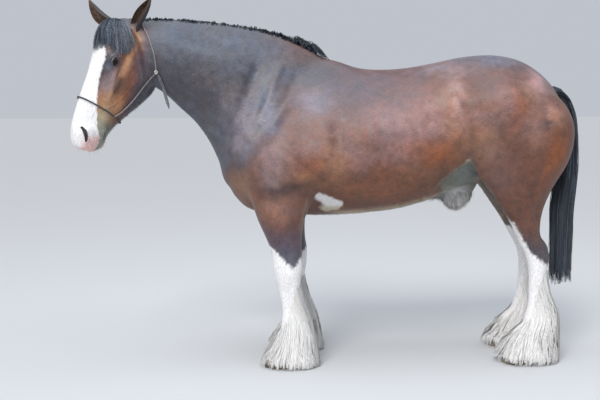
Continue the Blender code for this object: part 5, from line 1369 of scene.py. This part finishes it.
LEFT_EAR = mm((
    (-1028, -105, 1800), (-1020, -125, 1850), (-992, -150, 1900), (-960, -172, 1945), (-934, -186, 1985)))
RIGHT_EAR = mm((
    (-1123, 0, 1841), (-1185, 50, 1866), (-1235, 85, 1900), (-1268, 110, 1945), (-1292, 125, 1992)))
EAR_WIDTHS = mm((
    52, 70, 76, 54, 12))
LEFT_EAR_OPENS = Vector((-0.60, -0.75, 0.25))
RIGHT_EAR_OPENS = Vector((-0.60, -0.60, -0.10))
EAR_CURL = math.radians(126)   # how far the cup reaches round to each side
EAR_OUTSIDE = srgb(60, 54, 54)
EAR_INSIDE = srgb(118, 92, 76)


def ear_rows(spine, opening):
    """Place, half-width and three directions along an ear: up it, out of the cup and across it."""
    rows = between([(*p, w) for p, w in zip(spine, EAR_WIDTHS)])
    found = []
    for row, along in zip(rows, headings([row[:3] for row in rows])):
        face = (opening - along * along.dot(opening)).normalized()
        found.append((Vector(row[:3]), row[3] / 2, along, face, along.cross(face)))
    return found


def ear(name, spine, opening):
    """A cupped ear with a rolled rim, dark outside and paler inside."""
    rows = ear_rows(spine, opening)
    angles = [EAR_CURL * (j / 5 - 1) for j in range(11)]
    rings, colours = [], []
    for k, (spot, width, _, face, side) in enumerate(rows):
        half = width - 0.001
        wall = min(0.0045, half * 0.5)
        outside = [spot - face * (math.cos(a) * half * 0.8) + side * (math.sin(a) * half) for a in angles]
        inside = [spot - face * (math.cos(a) * (half * 0.8 - wall) - wall * 0.2)
                  + side * (math.sin(a) * (half - wall)) for a in angles[::-1]]
        rings.append(outside + inside)
        # The inside of the cup is painted darker towards its root, as shade deep in the cup.
        colours += [EAR_OUTSIDE] * 11 + [EAR_INSIDE * (0.45 + 0.55 * k / len(rows))] * 11
    obj = dress(lofted(name, rings), colours)
    modify(obj, "SUBSURF", levels=1, render_levels=1)
    return obj


def ear_hair(name, spine, opening, seed):
    """Fine hair inside the cup and along the rims."""
    draw = np.random.default_rng(seed)
    rows = ear_rows(spine, opening)
    guides, facing = [], []
    for _ in range(120):
        spot, half, along, face, side = rows[int(draw.uniform(0.08, 0.80) * (len(rows) - 1))]
        across = side * (half * draw.choice((-1, 1)) * draw.uniform(0.55, 0.95))
        start = spot + across * 0.80 - face * half * 0.35
        tip = start + along * draw.uniform(0.014, 0.030) + face * half * draw.uniform(0.25, 0.75)
        tip -= across * 0.25
        guides.append(curve_through((start, (start + tip) / 2 + across * 0.10 + face * 0.002, tip), 6))
        facing.append(face)
    return grow(name, draw, guides, facing, (4, 0.003, 0.002), 0.0006, EAR_OUTSIDE, EAR_INSIDE,
                by_clump=False)


# Eyes, lashes and whiskers

EYE_BULGE = 0.0012
PUPIL = srgb(4, 4, 5)
IRIS = srgb(38, 22, 15)
EYE_RIM = srgb(28, 19, 16)


def eye(name, centre, sign):
    """A dark brown ball with a horizontal pupil and a clear bulge."""
    bm = bmesh.new()
    bmesh.ops.create_uvsphere(bm, u_segments=40, v_segments=24, radius=EYE_R)
    for vert in bm.verts:
        vert.co.z += EYE_BULGE * max(0.0, vert.co.z / EYE_R) ** 6
    obj = object_from(bm, name)
    look = (HEAD_TURN @ Vector((0.10, 0.12, sign))).normalized()
    obj.data.transform(look.to_track_quat("Z", "Y").to_matrix().to_4x4())
    shade = []
    for vert in obj.data.vertices:
        out = vert.co.normalized()
        in_slot = abs(out.dot(HEAD_TURN @ EYE_SLOPE)) < 0.30
        shade.append(PUPIL if out.dot(look) > 0.93 and in_slot else IRIS if out.dot(look) > 0.80 else EYE_RIM)
    set_colours(obj.data, shade)
    obj.data.transform(Matrix.Translation(centre))
    return obj


def bristles(name, paths, facing, draw, thick, tint):
    """Single stiff hairs of one colour."""
    paths = np.array(paths)
    count, steps, _ = paths.shape
    radii = strand_radii(count, steps, thick, draw, 0.2)
    return strand_mesh(name, paths, radii, np.tile(tint, (count, steps, 1)), np.array(facing))


def lashes(eyes):
    """Dark lashes that stand out from the upper lids."""
    draw = np.random.default_rng(81)
    paths, facing = [], []
    slope = HEAD_TURN @ EYE_SLOPE
    rise = HEAD_TURN @ EYE_RISE
    lid = EYE_R + LID
    for sign, centre in eyes:
        out = HEAD_TURN @ Vector((0, 0, sign))
        for _ in range(70):
            u = draw.uniform(-0.95, 0.95)
            v = 1 - u * u + draw.uniform(0, 0.12)
            flat = slope * (u * EYE_SLIT[0]) + rise * (v * EYE_SLIT[1])
            high = math.sqrt(max(0, lid ** 2 - flat.length_squared))
            root = centre + (flat + out * high).normalized() * lid
            long = 0.017 * draw.uniform(0.6, 1.1)
            side = slope * (u * 0.35 + draw.uniform(-0.12, 0.12))
            paths.append([root + ((out * 0.85 + side) * t + rise * (0.45 * t * t - 0.25 * t)) * long
                          for t in np.linspace(0, 1, 5)])
            facing.append(rise)
    return bristles("lashes", paths, facing, draw, 0.00045, srgb(18, 16, 16))


def whiskers(tree):
    """Long single hairs on lips and chin and round the nostrils."""
    draw = np.random.default_rng(82)
    paths, facing = [], []
    for _ in range(150):
        sign = draw.choice((-1, 1))
        start = HEAD @ Vector((draw.uniform(0.62, 0.745), draw.uniform(-0.225, -0.110), sign * 0.3))
        hit = tree.ray_cast(start, HEAD_TURN @ Vector((0, 0, -sign)))[0]
        if hit is None:
            continue
        heading = Vector((0.75, -0.25 + draw.uniform(-0.4, 0.3), sign * (0.8 + draw.uniform(-0.3, 0.3))))
        heading = (HEAD_TURN @ heading).normalized()
        long = draw.uniform(0.012, 0.040)
        paths.append([hit + heading * (long * t) + Vector((0, 0, -0.25 * long * t * t))
                      for t in np.linspace(0, 1, 6)])
        facing.append(HEAD_TURN @ Vector((0.2, 0.1, sign)))
    return bristles("whiskers", paths, facing, draw, 0.00030, srgb(120, 112, 104))


# Hooves: z, front x, rear x, inner y, outer y

FORE_HOOF = mm((
    (0, -352, -150, 97, 271), (45, -332, -155, 106, 262), (67, -314, -160, 115, 253),
    (75, -308, -166, 119, 249)))
HIND_HOOF = mm((
    (0, 966, 1160, 106, 270), (45, 985, 1156, 114, 262), (67, 1003, 1152, 123, 253),
    (75, 1009, 1146, 127, 249)))
HORN_RIDGE = 0.0006            # depth of the growth rings


def hoof(name, rows, sign, step):
    """A horn hoof with a flat sole and fine growth rings."""
    rings = []
    for z in np.linspace(0, HOOF_TOP, 26):
        front, rear, inner, outer = measures(rows, z)
        ridge = HORN_RIDGE * math.sin(z * 900) - HORN_RIDGE
        centre = Vector(((front + rear) / 2 + stepped(step, z), sign * (inner + outer) / 2, z))
        rings.append([centre + Vector((c * ((rear - front) / 2 + ridge),
                                       s * ((outer - inner) / 2 * (1.0 if c < 0 else 0.94) + ridge), 0))
                      for c, s in circle(56)])
    obj = lofted(name, rings)
    for face in obj.data.polygons:
        face.use_smooth = abs(face.normal.z) < 0.9
    return obj


# Halter: cheek cord as points down the face and out of it, stud as radius and height, strap as x and z

CORD_RADIUS = 0.0047
CORD_LIFT = CORD_RADIUS + 0.0048
ROPE_TWIST = 110               # turn of the strands for each metre, in radians
ROPE_STEP = 0.0022             # from ring to ring
CHEEK_CORD = mm(((528, -205), (495, -232), (447, -255), (390, -272), (330, -282), (275, -283), (235, -280)))
STUD_PROFILE = mm(((0.1, 3.4), (3.5, 3.2), (6, 1.8), (7.5, 3), (9.8, 3.6), (11.5, 2.2), (11.8, 0), (10, -2.6),
                   (0.1, -3)))
STRAP_LINE = mm(((-905, 1585), (-893, 1550), (-880, 1510), (-868, 1465), (-856, 1420), (-852, 1402)))


def on_side(tree, along, out, sign, lift):
    """A point over one side of the head."""
    return on_face(tree, Vector((along, out, 0)), Vector((0, 0, sign)), 0.40, lift)


def rope(name, points, radius, closed=False):
    """A laid cord of three strands along the points."""
    loop = [*points, points[0]] if closed else points
    samples = max(24, int(sum((b - a).length for a, b in zip(loop, loop[1:])) / ROPE_STEP))
    dense = [Vector(p) for p in curve_through(loop, samples + 1)]
    if closed:
        dense.pop()
    across = None
    walked = 0.0
    before = dense[-1] if closed else dense[0]
    rings = []
    for spot, along in zip(dense, headings(dense, closed)):
        across = along.orthogonal() if across is None else across
        across = (across - along * across.dot(along)).normalized()
        other = along.cross(across)
        walked += (spot - before).length
        before = spot
        ring = []
        for j, (c, s) in enumerate(circle(12)):
            size = radius * (0.90 + 0.10 * math.cos(3 * (2 * math.pi * j / 12 + walked * ROPE_TWIST)))
            ring.append(spot + (across * c + other * s) * size)
        rings.append(ring)
    return lofted(name, rings, closed)


def halter(tree):
    """A cord round the nose, one up each cheek and behind the ears, and a stud on each side."""
    nose = []
    for c, s in circle(20):
        out = Vector((-0.14 * c, c, s)).normalized()
        nose.append(on_face(tree, Vector((0.515, -0.130, 0)), out, 0.3, CORD_LIFT))
    sides = [[on_side(tree, *place, sign, CORD_LIFT) for place in CHEEK_CORD] for sign in (-1, 1)]
    crown = []
    for k in range(14):
        angle = math.radians(-106 + 212 * k / 13)
        out = Vector((-0.846 * math.cos(angle), 0.533 * math.cos(angle), math.sin(angle))).normalized()
        crown.append(on_face(tree, Vector((0.170, -0.240, 0)), out, 0.5, CORD_LIFT))
    band = rope("halter_noseband", nose, CORD_RADIUS, closed=True)
    headpiece = rope("halter_headpiece", [*sides[0], *crown[1:-1], *sides[1][::-1]], CORD_RADIUS * 0.92)
    studs = []
    for sign, side, points in ((-1, "left", sides[0]), (1, "right", sides[1])):
        end = TO_HEAD @ points[-1]
        seat = on_side(tree, end.x + 0.003, end.y, sign, 2 * CORD_RADIUS + 0.0085)
        studs.append(stud(f"halter_ring_{side}", seat, sign))
    return band, headpiece, studs


def stud(name, seat, sign):
    """A small domed ring of metal."""
    turn = (HEAD_TURN @ Vector((0, 0, sign))).normalized().to_track_quat("Z", "Y").to_matrix()
    rings = [[seat + turn @ Vector((c * r, s * r, h)) for c, s in circle(28)] for r, h in STUD_PROFILE]
    return lofted(name, rings)


def strap_end(tree):
    """The loose end of the strap, hanging beside the throat."""
    path = []
    for x, z in STRAP_LINE:
        hit = tree.ray_cast(Vector((x, -1.5, z)), Vector((0, 1, 0)))[0]
        y = hit.y - 0.009 if hit and hit.y < 0 else path[-1].y + 0.002
        path.append(Vector((x, y, z)))
    rings = []
    for k, spot in enumerate(curve_through(path, 40)):
        wide = np.interp(k / 39, (0, 0.1, 0.85, 1.0), (0.0065, 0.0085, 0.0085, 0.0020))
        rings.append([Vector(spot) + Vector((c * wide, s * 0.0018, 0)) for c, s in circle(12)])
    return lofted("halter_strap", rings)


# Stage

CAMERA_DISTANCE = 6.1          # from the horse's middle plane
CAMERA_HEIGHT = 1.62
CAMERA_X = -0.139
HORSE_TURN = math.radians(4.0) # the rear stands a little farther away
TURN_X = 0.35
PICTURE_WIDTH, PICTURE_HEIGHT = 600, 400
FOCAL_PIXELS = 1098.0
HORIZON_Y = 68.0
SENSOR_WIDTH = 36.0


def camera():
    data = bpy.data.cameras.new("camera")
    data.sensor_width = SENSOR_WIDTH
    data.lens = SENSOR_WIDTH * FOCAL_PIXELS / PICTURE_WIDTH
    data.clip_end = 100
    obj = linked("camera", data)
    across = CAMERA_X - TURN_X
    c, s = math.cos(HORSE_TURN), math.sin(HORSE_TURN)
    place = (across * c - CAMERA_DISTANCE * s + TURN_X, -across * s - CAMERA_DISTANCE * c, CAMERA_HEIGHT)
    obj.location = Vector(place) + SHIFT
    pitch = math.atan((PICTURE_HEIGHT / 2 - HORIZON_Y) / FOCAL_PIXELS)
    obj.rotation_euler = (math.pi / 2 - pitch, 0, -HORSE_TURN)
    bpy.context.scene.camera = obj


def lamp(name, kind, power, colour, heading):
    data = bpy.data.lights.new(name, kind)
    data.energy = power
    data.color = colour
    obj = linked(name, data)
    obj.rotation_euler = heading.to_track_quat("-Z", "Y").to_euler()
    return obj


def stage():
    bm = bmesh.new()
    bmesh.ops.create_grid(bm, x_segments=1, y_segments=1, size=30)
    floor = object_from(bm, "floor")
    floor.location = (0, 0, -0.0005)
    look = Look("pale_floor", {"Base Color": (0.62, 0.63, 0.64, 1), "Roughness": 0.8})
    floor.data.materials.append(look.material)
    world = bpy.data.worlds.new("world")
    world.use_nodes = True
    world.node_tree.nodes["Background"].inputs["Color"].default_value = (0.86, 0.91, 1.0, 1)
    world.node_tree.nodes["Background"].inputs["Strength"].default_value = 0.60
    bpy.context.scene.world = world
    bpy.context.scene.view_settings.view_transform = "Standard"
    sky_place = Vector((0.2, -1.0, 5.5))
    sky = lamp("sky", "AREA", 150, (0.88, 0.94, 1.0), Vector((0.0, 0.0, 1.0)) - sky_place)
    sky.location = sky_place
    sky.data.shape = "DISK"
    sky.data.size = 4.5
    sun = lamp("key", "SUN", 1.9, (1.0, 0.975, 0.94), Vector((0.42, 0.95, -0.90)))
    sun.data.angle = math.radians(24)


def place_piece(obj, material, slot, *nodes):
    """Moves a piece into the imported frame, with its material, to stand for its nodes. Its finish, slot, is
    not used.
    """
    obj.data.transform(Matrix.Translation(SHIFT))
    obj.data.materials.clear()
    obj.data.materials.append(material)
    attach(obj, "root")
    if nodes:
        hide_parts(*nodes)


def main():
    camera()
    stage()
    body, tree, eyes, opening = make_skin()
    points = points_of(body.data)
    dress(body, mix(coat_colour(points), EYE_SHADE, opening))
    body.data.shade_smooth()
    low = 1 - step_up(points[:, 2], 0.90, 1.10)
    on_head = (in_head(points)[:, 0] > -0.02) & (points[:, 0] < -0.85)
    write(body.data.attributes.new("Lie", "FLOAT", "POINT").data, "value", np.maximum(low, on_head))

    tufts = fur_material("coat_tufts", 0.50, 420.0, 0.10)
    hair = fur_material("long_hair", 0.42, 60.0, 0.05)
    white_hair = fur_material("feather", 0.62, 380.0, 0.05)
    horn = plain_material("horn", srgb(70, 62, 54), srgb(150, 138, 120), 0.5, 9.0, 0.2, stretch=(1, 1, 8))
    legs = (
        ("fore_left", -1, FORE_RIBS, FORE_FEATHER, 0.44, FORE_HOOF, SQUARE),
        ("fore_right", 1, FORE_RIBS, FORE_FEATHER, 0.44, FORE_HOOF, FAR_FORE_STEP),
        ("hind_left", -1, HIND_RIBS, HIND_FEATHER, 0.52, HIND_HOOF, SQUARE),
        ("hind_right", 1, HIND_RIBS, HIND_FEATHER, 0.52, HIND_HOOF, FAR_HIND_STEP),
    )
    for seed, (leg, sign, ribs, hair_ribs, top, rows, step) in enumerate(legs):
        place = (ribs, hair_ribs, top, sign, step)
        place_piece(feather(f"feather_{leg}", *place, 40 + seed), white_hair, "feathered_leg")
        place_piece(under_feather(f"under_feather_{leg}", *place), white_hair, "feathered_leg")
        place_piece(hoof(f"hoof_{leg}_horn", rows, sign, step), horn, "horn", f"hoof_{leg}")

    for name, *growth in fur_places():
        place_piece(fur(name, body.data, *growth), tufts, "feathered_leg" if "stocking" in name else "coat")
    place_piece(mane(tree), hair, "coat")
    place_piece(forelock(tree), hair, "coat")
    place_piece(tail(), hair, "tail_hair", "tail")
    place_piece(dock(), hair, "tail_hair")

    ear_coat = fur_material("ear_coat", 0.6, 420.0, 0.3)
    ears = (("left", LEFT_EAR, LEFT_EAR_OPENS, 71), ("right", RIGHT_EAR, RIGHT_EAR_OPENS, 72))
    for side, spine, opens, seed in ears:
        place_piece(ear(f"ear_{side}_cup", spine, opens), ear_coat, "ear_coat", f"ear_{side}")
        place_piece(ear_hair(f"ear_{side}_hair", spine, opens, seed), ear_coat, "ear_coat")

    wet = eye_material()
    for sign, centre in eyes:
        side = "left" if sign < 0 else "right"
        place_piece(eye(f"eye_{side}_ball", centre, sign), wet, "eye", f"eye_{side}")
    place_piece(lashes(eyes), tufts, "coat")
    place_piece(whiskers(tree), tufts, "coat")

    cord = plain_material("dark_cord", srgb(34, 35, 44), srgb(78, 80, 92), 0.7, 700.0)
    pale_cord = plain_material("pale_cord", srgb(84, 80, 86), srgb(158, 148, 146), 0.7, 300.0)
    metal = plain_material("ring_metal", srgb(190, 184, 172), srgb(232, 228, 220), 0.28, 300.0, 0.05, 1.0)
    leather = plain_material("strap_leather", srgb(62, 62, 72), srgb(128, 126, 132), 0.55, 220.0)
    band, headpiece, studs = halter(tree)
    place_piece(band, cord, "halter", "halter_cords")
    place_piece(headpiece, pale_cord, "halter")
    place_piece(studs[0], metal, "stud", "halter_stud_left")
    place_piece(studs[1], metal, "stud", "halter_stud_right")
    place_piece(strap_end(tree), leather, "strap", "halter_strap_end")
    leg_nodes = [f"{kind}_{level}_{side}" for kind in ("fore", "hind") for level in ("upper", "lower")
                 for side in ("left", "right")]
    place_piece(body, skin_material(), "coat", "head", "neck", "torso", *leg_nodes)


main()
